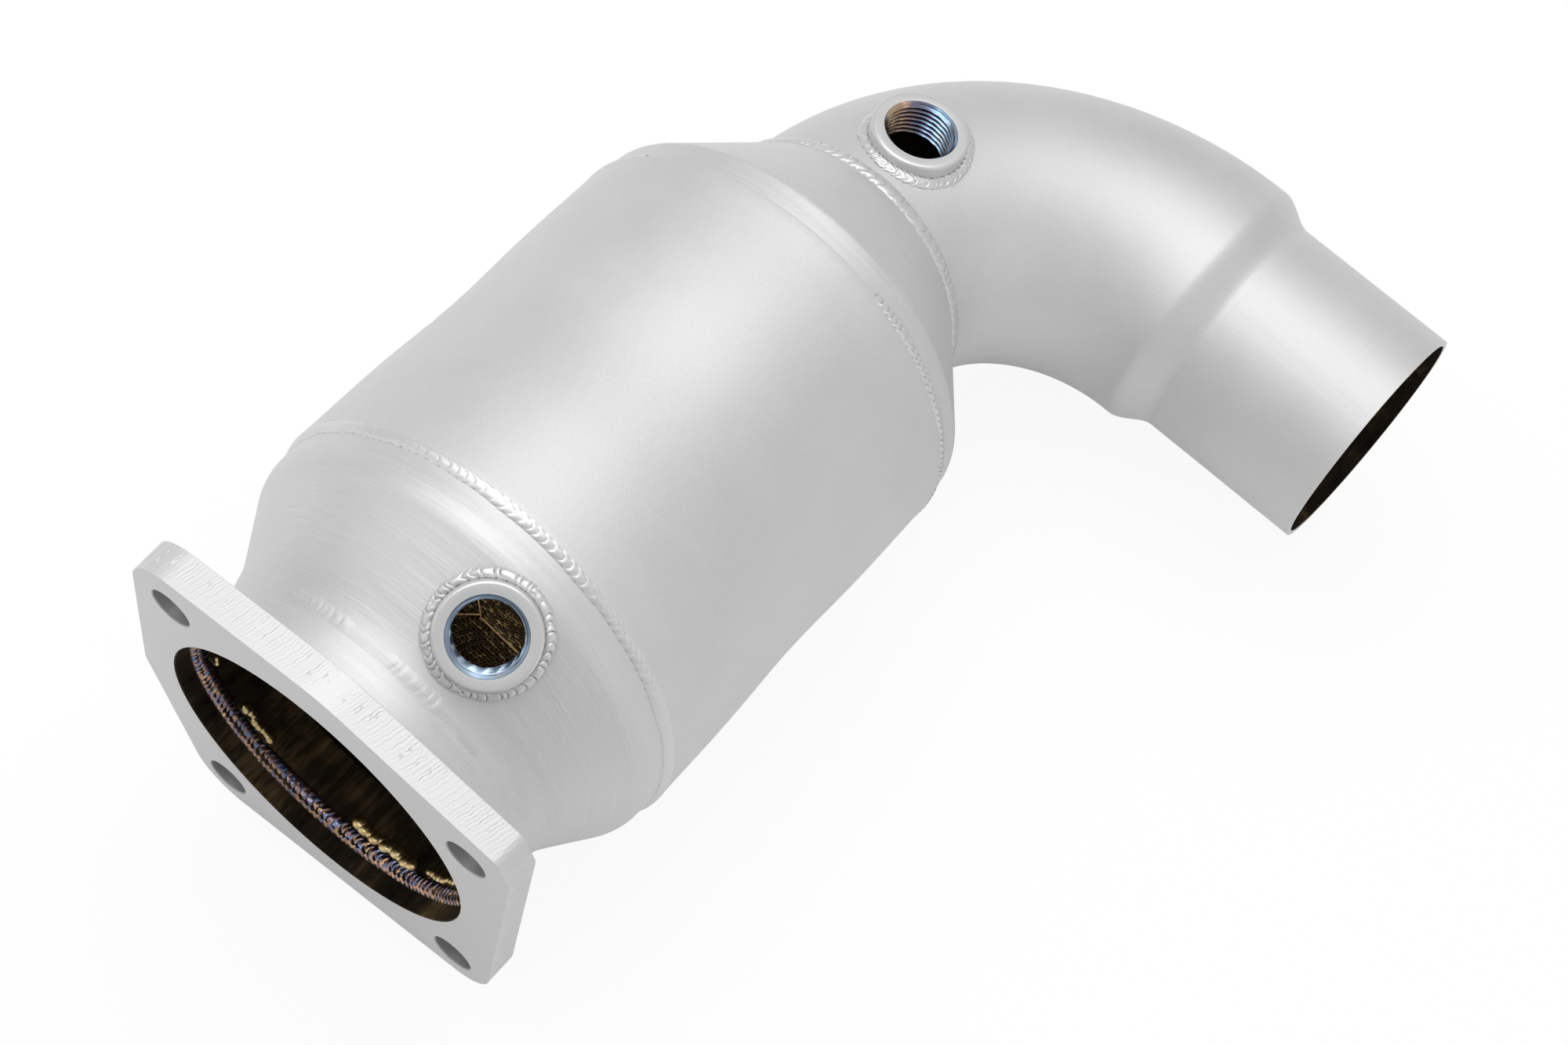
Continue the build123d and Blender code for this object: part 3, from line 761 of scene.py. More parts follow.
@dataclass(frozen=True)
class TintedThread(Finish):
    """Heat colours in a sensor bung: crests in the steel's own tint, grooves darkened as painted shade,
    hotter towards the outlet's side.
    """

    mount: str = "inlet_sensor_port"
    # Painted shade: the dark colour that stands in for the shade in the thread's grooves.
    groove: Colour = (0.02, 0.014, 0.012)
    cool: float = 0.08
    hot: float = 0.86
    pale: float = 0.22
    crest: float = 8.3
    root: float = 8.75
    # Depths along the axis, in mm, over which the painted groove shade fades in below the mouth.
    unshaded_down_to: float = -0.9
    shade_from: float = -1.3
    flutter: float = 0.14

    def feeds(self, graph: Graph, place: object, uv: object) -> dict[str, object]:
        """Heat across the bore, on the crests.

        Distance from the bung's axis, the length of the offset's cross product with the axis, tells crests
        from grooves, and the grooves take a dark colour as painted shade. The height along the axis keeps
        this painted shade off the chamfer at the mouth.
        """
        axes = LAYOUT.bung(self.mount, HOT_SIDE)
        offset = graph.vector("SUBTRACT", place, tuple(axes.origin * MM))
        radius = graph.vector("LENGTH", graph.vector("CROSS_PRODUCT", offset, tuple(axes.z)))
        # Painted shade mask: one in the grooves, past the crest radius, and only deeper than the chamfer.
        inner = graph.spread(radius, self.crest * MM, self.root * MM)
        height = graph.vector("DOT_PRODUCT", offset, tuple(axes.z))
        shade_depth_mask = graph.spread(height, self.unshaded_down_to * MM, self.shade_from * MM)
        side = graph.vector("DOT_PRODUCT", offset, tuple(axes.x))
        rise = graph.spread(side, -8.0 * MM, 7.0 * MM, self.cool, self.hot)
        drift = graph.spread(graph.noise(place, 260.0, 4.0, 0.6), 0.3, 0.7, -self.flutter, self.flutter)
        tint = graph.group("heat_tint", Heat=graph.math("ADD", rise, drift, clamp=True))
        bright = graph.mix(self.pale, tint.outputs["Color"], self.colour)
        # Painted shade: the grooves take the dark colour over the crests' tint.
        return dict(Base_Color=graph.mix(graph.math("MULTIPLY", inner, shade_depth_mask), bright, self.groove))


@dataclass(frozen=True)
class CoreFoil(Finish):
    """Coated metal foil: dark washcoat in the channels and bare gold edges at both ends."""

    edge_colour: Colour = (0.85, 0.58, 0.26)
    edge_depth: float = 0.35
    middle: float = 50.0
    half_length: float = 47.0
    wear: float = 0.5

    def feeds(self, graph: Graph, place: object, uv: object) -> dict[str, object]:
        """Distance from the core's middle shows the edges, and noise wears them."""
        can = LAYOUT.canister
        middle = tuple(can.point(0.0, 0.0, self.middle) * MM)
        offset = graph.vector("SUBTRACT", place, middle)
        far = graph.math("ABSOLUTE", graph.vector("DOT_PRODUCT", offset, tuple(can.z)))
        edge = graph.spread(far, (self.half_length - self.edge_depth) * MM, self.half_length * MM)
        patches = graph.noise(place, 420.0, 4.0, 0.65)
        shine = graph.math("MULTIPLY", edge, graph.spread(patches, self.wear, self.wear + 0.16, 0.12, 1.0))
        return dict(
            Base_Color=graph.mix(shine, self.colour, self.edge_colour),
            Roughness=graph.spread(patches, 0.4, 0.65, 0.6, 0.35),
        )


@dataclass(frozen=True)
class Materials:
    """The finishes of the converter, made once."""

    body: bpy.types.Material
    dressed: bpy.types.Material
    flange: bpy.types.Material
    jet_cut: bpy.types.Material
    hole: bpy.types.Material
    weld: bpy.types.Material
    bung: bpy.types.Material
    front_thread: bpy.types.Material
    rear_thread: bpy.types.Material
    inner_weld: bpy.types.Material
    soot: bpy.types.Material
    drip: bpy.types.Material
    foil: bpy.types.Material
    web: bpy.types.Material

    @staticmethod
    def make() -> "Materials":
        """Builds every finish."""
        make_shared_groups()
        pale = (0.60, 0.60, 0.60)
        black = (0.010, 0.007, 0.004)
        made = dict(
            body=BlastedSteel("blasted_steel", pale, roughness=0.55, grain_depth=0.3, speckle=0.08),
            dressed=BlastedSteel(
                "dressed_steel", pale, roughness=0.52, grain_depth=0.15, brushing=1.4, speckle=0.05
            ),
            flange=BlastedSteel("flange_steel", (0.57, 0.57, 0.57), roughness=0.5),
            jet_cut=BlastedSteel("jet_cut_steel", (0.61, 0.61, 0.61), metallic=0.5, roughness=0.55),
            hole=BlastedSteel("hole_steel", (0.34, 0.34, 0.34), roughness=0.5, brushing=0.6),
            weld=BlastedSteel("weld_metal", (0.62, 0.62, 0.62), speckle=0.05),
            bung=BlastedSteel("bung_steel", pale, grain_depth=0.04),
            front_thread=TintedThread(
                "inlet_thread", THREAD_STEEL, roughness=0.3, cool=0.66, hot=0.88, pale=0.45
            ),
            rear_thread=TintedThread(
                "outlet_thread", THREAD_STEEL, roughness=0.2, mount="outlet_sensor_port"
            ),
            inner_weld=TintedSteel(
                "tinted_weld", (0.46, 0.46, 0.48), roughness=0.26, low=0.32, high=0.68, patch=0.38,
                across=8.0, grey=0.27, patch_scale=500.0,
            ),
            soot=SootedSteel("sooted_steel", (0.02, 0.015, 0.01), metallic=0.08, roughness=0.4),
            drip=TintedSteel(
                "gold_drip", (0.7, 0.6, 0.35), roughness=0.28, low=0.0, high=0.2, patch=0.12,
                across=3.0, grey=0.35,
            ),
            foil=CoreFoil("core_foil", black, metallic=0.9, roughness=0.55),
            web=CoreFoil(
                "core_web", (0.020, 0.014, 0.008), metallic=0.9, edge_colour=(0.85, 0.58, 0.28), wear=0.2
            ),
        )
        return Materials(**{key: finish.make() for key, finish in made.items()})


@dataclass(frozen=True)
class FlangePlate:
    """Thick plate cut out by a water jet, with a gas port and four bolt holes."""

    thickness: float = 8.9
    outline: tuple[tuple[float, float, float], ...] = (
        (57.45, 44.95, 12.5),
        (2.8, 56.75, 40.0),
        (-48.8, 51.3, 2.5),
        (-53.35, 42.9, 4.0),
        (-56.5, -42.0, 12.0),
        (31.25, -62.45, 13.5),
        (52.85, -13.8, 10.0),
    )
    port_radius: float = 43.6
    port_land: float = 5.0
    seat_radius: float = 44.1
    bolt_circle: float = 56.5
    bolt_angles: tuple[float, ...] = (37.0, 137.0, 217.0, 297.0)
    bolt_hole: float = 5.5
    edge_break: float = 0.25
    step: float = 0.29
    arc_points: int = 17
    overshoot: float = 2.0
    rows: int = 20
    striation_depth: float = 0.1
    lag: float = 1.9
    snakes: tuple[tuple[float, ...], ...] = ((0.13, 0.40, 9.0, 5.0, 31.0), (0.10, 0.27, 7.0, 11.0, 83.0))
    marks: tuple[tuple[float, ...], ...] = (
        (0.95, 0.9, 3.1), (0.78, 0.9, 4.2), (1.6, 0.3, 2.1), (0.66, 0.6, 4.9),
    )

    def rim(self) -> tuple[np.ndarray, np.ndarray]:
        """Outline with round corners, in even steps.

        Each corner is the arc of its radius that touches both sides. The outward direction at a
        point is square to the run of the line there.

        Returns:
            Points (n, 2) and outward directions (n, 2).
        """
        corners = np.array([c[:2] for c in self.outline])
        radii = np.array([c[2] for c in self.outline])
        before = unit(np.roll(corners, 1, 0) - corners)
        after = unit(np.roll(corners, -1, 0) - corners)
        half = 0.5 * np.arccos(np.clip(np.sum(before * after, 1), -1, 1))
        centre = corners + (radii / np.sin(half))[:, None] * unit(before + after)
        start = corners + (radii / np.tan(half))[:, None] * before - centre
        stop = corners + (radii / np.tan(half))[:, None] * after - centre
        angle0 = np.arctan2(start[:, 1], start[:, 0])
        sweep = np.arctan2(stop[:, 1], stop[:, 0]) - angle0
        sweep = (sweep + math.pi) % TAU - math.pi
        part = np.linspace(0.0, 1.0, self.arc_points)
        arc = angle0[:, None] + sweep[:, None] * part
        points = centre[:, None] + radii[:, None, None] * np.stack([np.cos(arc), np.sin(arc)], -1)
        points = points.reshape(-1, 2)
        loop = np.vstack([points, points[:1]])
        run = np.concatenate([[0.0], np.cumsum(np.linalg.norm(np.diff(loop, axis=0), axis=1))])
        count = int(run[-1] / self.step)
        even = np.arange(count) * run[-1] / count
        line = np.stack([np.interp(even, run, loop[:, k]) for k in range(2)], -1)
        tangent = unit(np.roll(line, -1, 0) - np.roll(line, 1, 0))
        outward = np.stack([tangent[:, 1], -tangent[:, 0]], -1)
        if np.sum(outward * line) < 0:
            outward = -outward
        return line, outward

    def striation(self, run: np.ndarray, depth: np.ndarray) -> np.ndarray:
        """Jet marks: waves along the cut that lag towards the plate's front face.

        The phase is the run plus the lag times a power of the distance from the rear face, and it
        snakes a little with the depth. A snake has a size, a span of depth, a swing and two
        numbers of waves round the rim. A mark has a pitch, a size and a twist. Whole numbers of
        waves go round the rim, so that it closes. The marks never stand out of the outline. They
        are deepest at mid depth and weaker towards both faces.
        """
        total = len(run) * self.step
        along = run[:, None] * TAU / total
        snake = sum(
            size * np.sin(TAU * depth[None] / span + swing * np.sin(slow * along) + fast * along)
            for size, span, swing, slow, fast in self.snakes
        )
        phase = (run[:, None] + self.lag * (1.0 - depth[None]) ** 1.4 + snake) * TAU / total
        waves = np.zeros_like(phase)
        for pitch, size, twist in self.marks:
            count = round(total / pitch)
            waves += size * np.sin(count * phase + twist * np.sin(round(13.0 * pitch) * along))
        grown = np.interp(depth, [0.0, 0.14, 0.5, 0.75, 1.0], [0.12, 0.5, 1.0, 0.9, 0.7])[None]
        return self.striation_depth * np.minimum(0.45 * waves - 0.9, 0.0) * grown

    def plate(self) -> list[Surface]:
        """Wall of the plate with its broken edges, closed by two caps towards its middle."""
        line, outward = self.rim()
        count = len(line)
        run = np.arange(count) * self.step
        depth = np.linspace(0.0, 1.0, self.rows)
        x = self.edge_break + depth * (self.thickness - 2 * self.edge_break)
        shift = self.striation(run, depth)
        wall = line[:, None] + outward[:, None] * shift[..., None]
        turns = np.linspace(0.0, math.pi / 2, 4)[:0:-1]
        edge = [line - outward * self.edge_break * (1 - math.cos(t)) for t in turns]
        stations = [self.edge_break * (1 - math.sin(t)) for t in turns]
        inner = np.zeros_like(line)
        flat = np.stack([inner, *edge, *wall.transpose(1, 0, 2), *edge[::-1], inner], 1)
        places = [0.0, *stations, *x, *(self.thickness - s for s in stations[::-1]), self.thickness]
        points = LAYOUT.flange.point(flat[..., 0], flat[..., 1], np.array(places))
        column = np.arange(len(places) - 1)
        cut_edge = (column >= len(edge)) & (column <= len(edge) + self.rows)
        return [Surface(points, True, False, count * self.step, 40.0, second_slot(cut_edge, count))]

    def hole(self, centre: tuple[float, float], radius: float, seat: float | None) -> Surface:
        """Cutter for a round hole whose edges are broken, with a wider seat behind where given."""
        turns = ring_turns(96 if seat is None else 256)
        flare, past = self.edge_break, self.thickness + self.overshoot
        far = self.thickness if seat is None else self.port_land
        profile = [(-self.overshoot, radius + flare), (0.0, radius + flare), (flare, radius)]
        if seat is None:
            profile += [(far - flare, radius), (far, radius + flare), (past, radius + flare)]
        else:
            profile += [(far, radius), (far, seat), (past, seat)]
        rings = [
            LAYOUT.flange.point(centre[0] + r * np.cos(turns), centre[1] + r * np.sin(turns), x)
            for x, r in [(profile[0][0], TIP), *profile, (profile[-1][0], TIP)]
        ]
        return Surface(np.stack(rings, 1), True, False)

    def build(self, materials: Materials) -> None:
        """Makes the plate and cuts its port and holes."""
        cutters = [self.hole((0.0, 0.0), self.port_radius, self.seat_radius)]
        for angle in np.radians(self.bolt_angles):
            centre = (self.bolt_circle * math.cos(angle), self.bolt_circle * math.sin(angle))
            cutters.append(self.hole(centre, self.bolt_hole, None))
        add_piece(
            "flange_plate",
            self.plate(),
            [materials.flange, materials.jet_cut],
            "inlet_flange",
            tuple(cutters),
            (materials.soot, *[materials.hole] * len(self.bolt_angles)),
        )


@dataclass(frozen=True)
class InletEnd:
    """Neck tube and oblique inlet cone."""

    neck_radius: float = 44.1
    neck_wall: float = 1.6
    neck_start: float = 5.0
    neck_end: float = 21.38
    bevel: float = 1.0
    cone_start: float = 21.4
    cone_wall: float = 1.5
    shoulder: float = -9.0
    collar_radius: float = 58.2
    collar_end: float = 5.0
    shoulder_reach: float = 3.2
    segments: int = 384

    def cone_skin(self, inset: float) -> np.ndarray:
        """Cone and collar: rulings from the neck circle to the shoulder circle, then straight."""
        turns = ring_turns(self.segments)
        can = LAYOUT.canister
        rings = [
            LAYOUT.flange.polar(self.neck_radius - inset, turns, self.cone_start),
            can.polar(self.collar_radius - inset, turns, self.shoulder),
            can.polar(self.collar_radius - inset, turns, self.collar_end),
        ]
        return rounded_meridian(rings, self.shoulder_reach, [24, 12], 10)

    def neck_skin(self) -> list[Surface]:
        """Neck tube, with a bevelled front edge inside."""
        turns = ring_turns(self.segments)[:, None]
        inner = self.neck_radius - self.neck_wall
        outer_x = np.linspace(self.neck_start, self.neck_end, 13)[None]
        inner_x = np.array([self.neck_start, self.neck_start + self.bevel, 12.0, self.neck_end])[None]
        inner_r = np.array([inner + self.bevel, inner, inner, inner])[None]
        outer = LAYOUT.flange.polar(self.neck_radius, turns, outer_x)
        return [sheet(outer, LAYOUT.flange.polar(inner_r, turns, inner_x), TAU * self.neck_radius, 15.0)]

    def build(self, materials: Materials, bung: "SensorBung") -> None:
        """Makes the neck and the cone, with the bung's hole cut in the cone."""
        add_piece(
            "neck_tube", self.neck_skin(), [materials.body, materials.soot], "inlet_neck"
        )
        add_tube(
            "inlet_cone_sheet", "inlet_cone", self.cone_skin, self.cone_wall, (TAU * 51.0, 42.0),
            [materials.dressed, materials.soot], (bung.hole_cutter(),),
        )


@dataclass(frozen=True)
class CanisterShell:
    """Rolled tube with a shallow swaged waist."""

    length: float = 107.0
    wall: float = 1.2
    lip: float = 0.4
    knots: tuple[tuple[float, float], ...] = (
        (0.0, 59.4), (16.0, 59.4), (24.0, 59.3), (35.0, 58.95), (43.0, 58.3), (50.0, 57.85),
        (56.0, 57.82), (62.0, 57.86), (71.0, 58.3), (81.0, 58.5), (94.0, 58.26), (107.0, 57.96),
    )
    swage_line: float = 45.0
    line_depth: float = 0.05
    line_width: float = 0.7
    line_lean: float = 1.2
    unevenness: float = 0.05
    calm_end: float = 8.0
    segments: int = 360
    steps: int = 46

    def radius(self, z: np.ndarray) -> np.ndarray:
        """Outer radius: straight lines between the knots, smoothed by a moving mean."""
        fine = np.linspace(-12.0, self.length + 12.0, 1200)
        places, values = zip(*self.knots)
        raw = np.interp(fine, places, values)
        kernel = np.hanning(401)
        kernel /= kernel.sum()
        padded = np.pad(raw, 200, mode="edge")
        return np.interp(z, fine, np.convolve(padded, kernel, mode="valid"))

    def skin(self, inset: float) -> np.ndarray:
        """Skin of the shell with slight hand-made unevenness in its radius."""
        turns = ring_turns(self.segments)[:, None]
        bulk = np.linspace(self.lip, self.length - self.lip, self.steps)
        rim = self.lip * (1.0 - np.cos(np.linspace(0.0, math.pi / 2, 5)[:-1]))
        z = np.concatenate([rim, bulk, self.length - rim[::-1]])[None]
        from_end = np.minimum(z, self.length - z)
        fade = np.clip(from_end / self.calm_end, 0.0, 1.0)
        uneven = self.unevenness * (wobble(turns + 0.02 * z, 7, (2, 3, 5, 7)) - 1.8) * fade
        past_line = (z - self.swage_line - self.line_lean * np.sin(turns)) / self.line_width
        line = self.line_depth * np.exp(-(past_line**2))
        end = np.clip(1.0 - from_end / self.lip, 0.0, 1.0)
        lip = self.lip * (1.0 - np.sqrt(1.0 - end**2)) * (1.0 if inset == 0.0 else 0.0)
        radius = self.radius(z) - inset + uneven - line - lip
        return LAYOUT.canister.polar(radius, turns, z)

    def build(self, materials: Materials) -> None:
        """Makes the shell."""
        add_tube(
            "canister_tube", "canister_shell", self.skin, self.wall, (TAU * 58.5, self.length),
            [materials.body, materials.soot],
        )


@dataclass(frozen=True)
class OutletEnd:
    """Outlet cone, bent tube with a swaged end, and the straight pipe."""

    collar_start: float = 102.0
    collar_radius: float = 56.8
    shoulder: float = 114.0
    shoulder_reach: float = 0.7
    cone_wall: float = 1.5
    sleeve_start: float = -2.5
    sleeve_end: float = -1.0
    tube_radius: float = 36.25
    ease: float = 0.04
    wall: float = 1.5
    swage_start: float = 1.4
    swage_end: float = 12.2
    joint: float = 12.6
    pipe_start: float = 13.8
    pipe_end: float = 57.39
    pipe_radius: float = 31.75
    seam_angle: float = 305.0
    seam_lines: tuple[tuple[float, float, float], ...] = ((0.05, 0.0, 0.02), (0.04, 0.05, 0.015))
    bend_stations: int = 58
    segments: int = 256

    def cone_skin(self, inset: float) -> np.ndarray:
        """Collar, cone and short sleeve on the elbow's own axis."""
        turns = ring_turns(self.segments)
        can, elbow = LAYOUT.canister, LAYOUT.elbow
        away = math.radians(LAYOUT.elbow_clocking)
        sleeve = self.tube_radius + self.cone_wall - inset
        rings = [
            can.polar(self.collar_radius - inset, turns, self.collar_start),
            can.polar(self.collar_radius - inset, turns, self.shoulder),
            elbow.polar(sleeve, turns - away, self.sleeve_start),
            elbow.polar(sleeve, turns - away, self.sleeve_end),
        ]
        return rounded_meridian(rings, self.shoulder_reach, [10, 20, 2], 8)

    def bend_skin(self, inset: float) -> np.ndarray:
        """Tube along the centre line: straight tuck, bend, swage and short straight.

        The swage's radius falls by a smooth step, three parts of the square less two of the cube
        of the relative length, between its start and its end.
        """
        turns = ring_turns(self.segments, UNDERSIDE)[:, None]
        elbow, outlet = LAYOUT.elbow, LAYOUT.outlet
        radius = self.tube_radius - self.ease - inset
        tuck = elbow.polar(radius, turns, np.linspace(self.sleeve_start, -0.5, 3)[None])
        stations = np.linspace(0.0, math.radians(LAYOUT.bend_angle), self.bend_stations)
        centre, inward, _ = LAYOUT.bend_station(stations)
        cosine, sine = np.cos(turns)[..., None], np.sin(turns)[..., None]
        bend = centre + radius * (cosine * inward + sine * elbow.y)
        z = np.concatenate([np.linspace(0.8, self.swage_end, 26), [self.joint]])[None]
        part = np.clip((z - self.swage_start) / (self.swage_end - self.swage_start), 0.0, 1.0)
        fall = part**2 * (3.0 - 2.0 * part)
        narrow = radius - (radius + inset - self.pipe_radius) * fall
        return np.concatenate([tuck, bend, outlet.polar(narrow, turns, z)], axis=1)

    def joint_skin(self, inset: float) -> np.ndarray:
        """Weld ground flush between the bend and the pipe, with a trace of its ripples left."""
        turns = ring_turns(self.segments, UNDERSIDE)[:, None]
        z = np.linspace(self.joint, self.pipe_start, 7)[None]
        trace = 0.02 * np.sin(math.pi * (z - self.joint) / (self.pipe_start - self.joint))
        radius = self.pipe_radius - inset + trace * (1.0 + wobble(turns, 19, (31, 53, 87), 0.0))
        return LAYOUT.outlet.polar(radius, turns, z)

    def pipe_skin(self, inset: float) -> np.ndarray:
        """Straight pipe with a faint lengthwise seam, of lines with a depth, an offset and a width."""
        turns = ring_turns(self.segments, UNDERSIDE)[:, None]
        z = np.linspace(self.pipe_start, self.pipe_end, 14)[None]
        away = (turns - math.radians(self.seam_angle) + math.pi) % TAU - math.pi
        seam = sum(size * np.exp(-(((away - off) / width) ** 2)) for size, off, width in self.seam_lines)
        return LAYOUT.outlet.polar(self.pipe_radius - inset - seam, turns, z)

    def build(self, materials: Materials, bung: "SensorBung") -> None:
        """Makes the cone, the bend with the bung's hole, and the pipe."""
        dressed, plain = [materials.dressed, materials.soot], [materials.body, materials.soot]
        girth = TAU * self.pipe_radius
        add_tube(
            "outlet_cone_sheet", "outlet_cone", self.cone_skin, self.cone_wall, (TAU * 48.0, 40.0), dressed
        )
        add_tube(
            "elbow_tube", "outlet_elbow", self.bend_skin, self.wall, (TAU * 36.0, 125.0), plain,
            (bung.hole_cutter(),),
        )
        length = self.pipe_end - self.pipe_start
        add_tube("outlet_tube", "outlet_pipe", self.pipe_skin, self.wall, (girth, length), plain)
        add_tube(
            "outlet_joint", "outlet_pipe_weld", self.joint_skin, self.wall, (girth, 1.2), plain,
        )


@dataclass(frozen=True)
class SensorBung:
    """Turned ring with a rounded rim, a chamfered mouth and a metric thread."""

    name: str
    node: str
    axes: Axes
    radius: float = 12.5
    length: float = 11.0
    edge_round: float = 0.9
    minor_radius: float = 8.2
    major_radius: float = 9.0
    thread_pitch: float = 1.5
    hole_radius: float = 12.3
    hole_span: tuple[float, float] = (-16.0, 8.0)
    lip: float = 9.3
    lip_drop: float = 0.2
    segments: int = 128

    def hole_cutter(self) -> Surface:
        """Cutter for the hole in the sheet, just inside the bung's outer wall."""
        turns = ring_turns(self.segments)
        low, high = self.hole_span
        profile = [(low, TIP), (low, self.hole_radius), (high, self.hole_radius), (high, TIP)]
        return Surface(np.stack([self.axes.polar(r, turns, z) for z, r in profile], 1), True, False)

    def thread(self, turns: np.ndarray, z: np.ndarray) -> np.ndarray:
        """Radius of the threaded bore.

        A rounded saw wave of the depth, whose phase advances by one pitch for each turn, so that
        it closes on itself. The chamfer at the mouth cuts its first turn.
        """
        phase = z / self.thread_pitch - turns / TAU
        wave = np.abs(2.0 * (phase - np.floor(phase + 0.5)))
        groove = np.clip(1.3 * wave - 0.15, 0.0, 1.0)
        return self.minor_radius + (self.major_radius - self.minor_radius) * groove

    def build(self, materials: Materials, thread_finish: bpy.types.Material) -> None:
        """Makes the bung. Its inner faces take the thread's finish.

        The chamfer's radius grows by its height over the lip, so that it stands at 45 degrees.
        """
        turns = ring_turns(self.segments)[:, None]
        quarter = np.linspace(0.0, math.pi / 2, 7)
        rim_radius = self.radius - self.edge_round * (1 - np.cos(quarter))
        rim_z = -self.edge_round * (1 - np.sin(quarter))
        ring_radius = np.concatenate(
            [[self.radius] * 2, rim_radius, [11.0, self.lip + 0.35, self.lip + 0.12, self.lip]]
        )
        ring_z = np.concatenate([[-self.length, -4.0], rim_z, [0.0, 0.0, -0.04, -self.lip_drop]])
        z = np.linspace(-self.lip_drop - 0.05, -self.length, 116)
        thread = np.maximum(self.thread(turns, z[None]), self.lip + self.lip_drop + z[None])
        outside = np.broadcast_to(ring_radius, (self.segments, len(ring_radius)))
        radius = np.concatenate([outside, thread], axis=1)
        points = self.axes.polar(radius, turns, np.concatenate([ring_z, z]))
        inside = np.arange(points.shape[1]) >= len(ring_radius) - 2
        slots = second_slot(inside, self.segments)
        surface = Surface(points, True, True, TAU * self.radius, 20.0, slots)
        add_piece(self.name, [surface], [materials.bung, thread_finish], self.node)


@dataclass(frozen=True)
class WeldBead:
    """A bead between two toe lines, built of overlapping coins of weld metal.

    The crown is an arch over the chord between the toes. Each coin rises steeply from the one
    before it and falls slowly, its edge is bowed across the bead and its ends swell past the toes.
    The band is the crown's middle and half width, as shares of the bead's width. The disc share
    turns the coins' profile from a saw into a row of round ridges. The fade is the share of the
    height that follows the vigour.
    """

    name: str
    node: str
    height: float
    pitch: float
    seed: int
    ripple: float = 1.0
    bow: float = 0.9
    sink: float = 0.6
    softness: float = 0.75
    swell: float = 0.14
    vigour: tuple[tuple[float, float], ...] = ((0.0, 1.0), (360.0, 1.0))
    band: tuple[float, float] = (0.5, 0.5)
    disc: float = 0.0
    fade: float = 0.0
    arc: tuple[float, float] | None = None
    warp: float = 0.35
    rise: float = 0.10
    slope: float = 0.55
    undercut: float = 0.15
    seam_reach: float = 6.0
    end_columns: float = 14.0
    columns: int = 1600
    rows: int = 14

    @property
    def turns(self) -> np.ndarray:
        """Angles in radians of the columns: a whole ring, or the arc where one is given."""
        if self.arc is None:
            return ring_turns(self.columns)
        return np.radians(np.linspace(*self.arc, self.columns))

    def surface(
        self, toe_a: np.ndarray, toe_b: np.ndarray, up: np.ndarray, corner: np.ndarray | None
    ) -> Surface:
        """Skin of the bead.

        Height over the chord is the crown times one less the ripple where two coins meet. The
        coins' phase is the run along the bead, warped a little, plus the bow times the square of
        the place across.

        Args:
            toe_a, toe_b: Toe lines (n, 3).
            up: Outward directions (n, 3).
            corner: Line of the hollow corner. Where given, the base under the crown is the
                parabola between the toes whose control point lies on it, and not the chord.

        Returns:
            Closed surface with a sunk underside.
        """
        turns, closed = self.turns, self.arc is None
        middle = 0.5 * (toe_a + toe_b)
        ahead = np.roll(middle, -1, 0) if closed else np.vstack([middle[1:], middle[-1:]])
        steps = np.linalg.norm(ahead - middle, axis=1)
        run = np.concatenate([[0.0], np.cumsum(steps)[:-1]])
        total = float(steps.sum())
        coins = max(1, round(total / self.pitch))
        across = np.linspace(0.0, 1.0, self.rows)[None]
        arch = np.clip(1.0 - ((across - self.band[0]) / self.band[1]) ** 2, 0.0, 1.0)
        still = [0.0, self.seam_reach, total - self.seam_reach, total]
        warp = self.warp * wobble(turns, self.seed, (5, 9, 14, 23, 31), 0.4)
        warp = warp * np.interp(run, still, [0.0, 1.0, 1.0, 0.0])
        phase = (run * coins / total)[:, None] + warp[:, None] + self.bow * (1.0 - arch)
        places, values = zip(*self.vigour)
        strength = np.interp(np.degrees(turns) % 360.0, places, values)[:, None]
        part = phase - np.floor(phase)
        saw = (1.0 - np.exp(-part / self.rise)) * (1.0 - self.slope * part)
        hump = (1.0 - self.disc) * saw + self.disc * np.sqrt(1.0 - (2.0 * part**0.85 - 1.0) ** 2)
        draw = np.random.default_rng(self.seed).uniform(0.45, 1.2, coins)
        each = draw[np.floor(phase).astype(int) % coins]
        uneven = 1.0 + 0.10 * wobble(turns, self.seed + 1, (3, 7, 12, 19), 0.3)[:, None]
        height = self.height * (1.0 - self.fade * (1.0 - strength))
        lift = height * arch**self.softness * uneven
        lift = lift * (1.0 - self.ripple * strength * each * (1.0 - hump))
        if not closed:
            ends = np.minimum(np.arange(len(turns)), np.arange(len(turns))[::-1])
            lift = lift * np.clip(ends / self.end_columns, 0.0, 1.0)[:, None] ** 0.5
        chord = toe_b - toe_a
        wide = np.linalg.norm(chord, axis=1)[:, None]
        bulge = self.swell * strength * each * (np.sin(math.pi * part) - 0.6) / wide
        spread = across[..., None] + (bulge * (2.0 * across - 1.0) ** 3)[..., None]
        skin = toe_a[:, None] + chord[:, None] * spread + up[:, None] * lift[..., None]
        if corner is not None:
            skin = skin + (corner - middle)[:, None] * (2.0 * across * (1.0 - across))[..., None]
        low_b = toe_b - up * self.sink - self.undercut * chord
        low_a = toe_a - up * self.sink + self.undercut * chord
        points = np.concatenate([skin, low_b[:, None], low_a[:, None]], axis=1)
        return Surface(points, closed, True, total, float(wide.mean()) * (self.rows + 2) / self.rows)

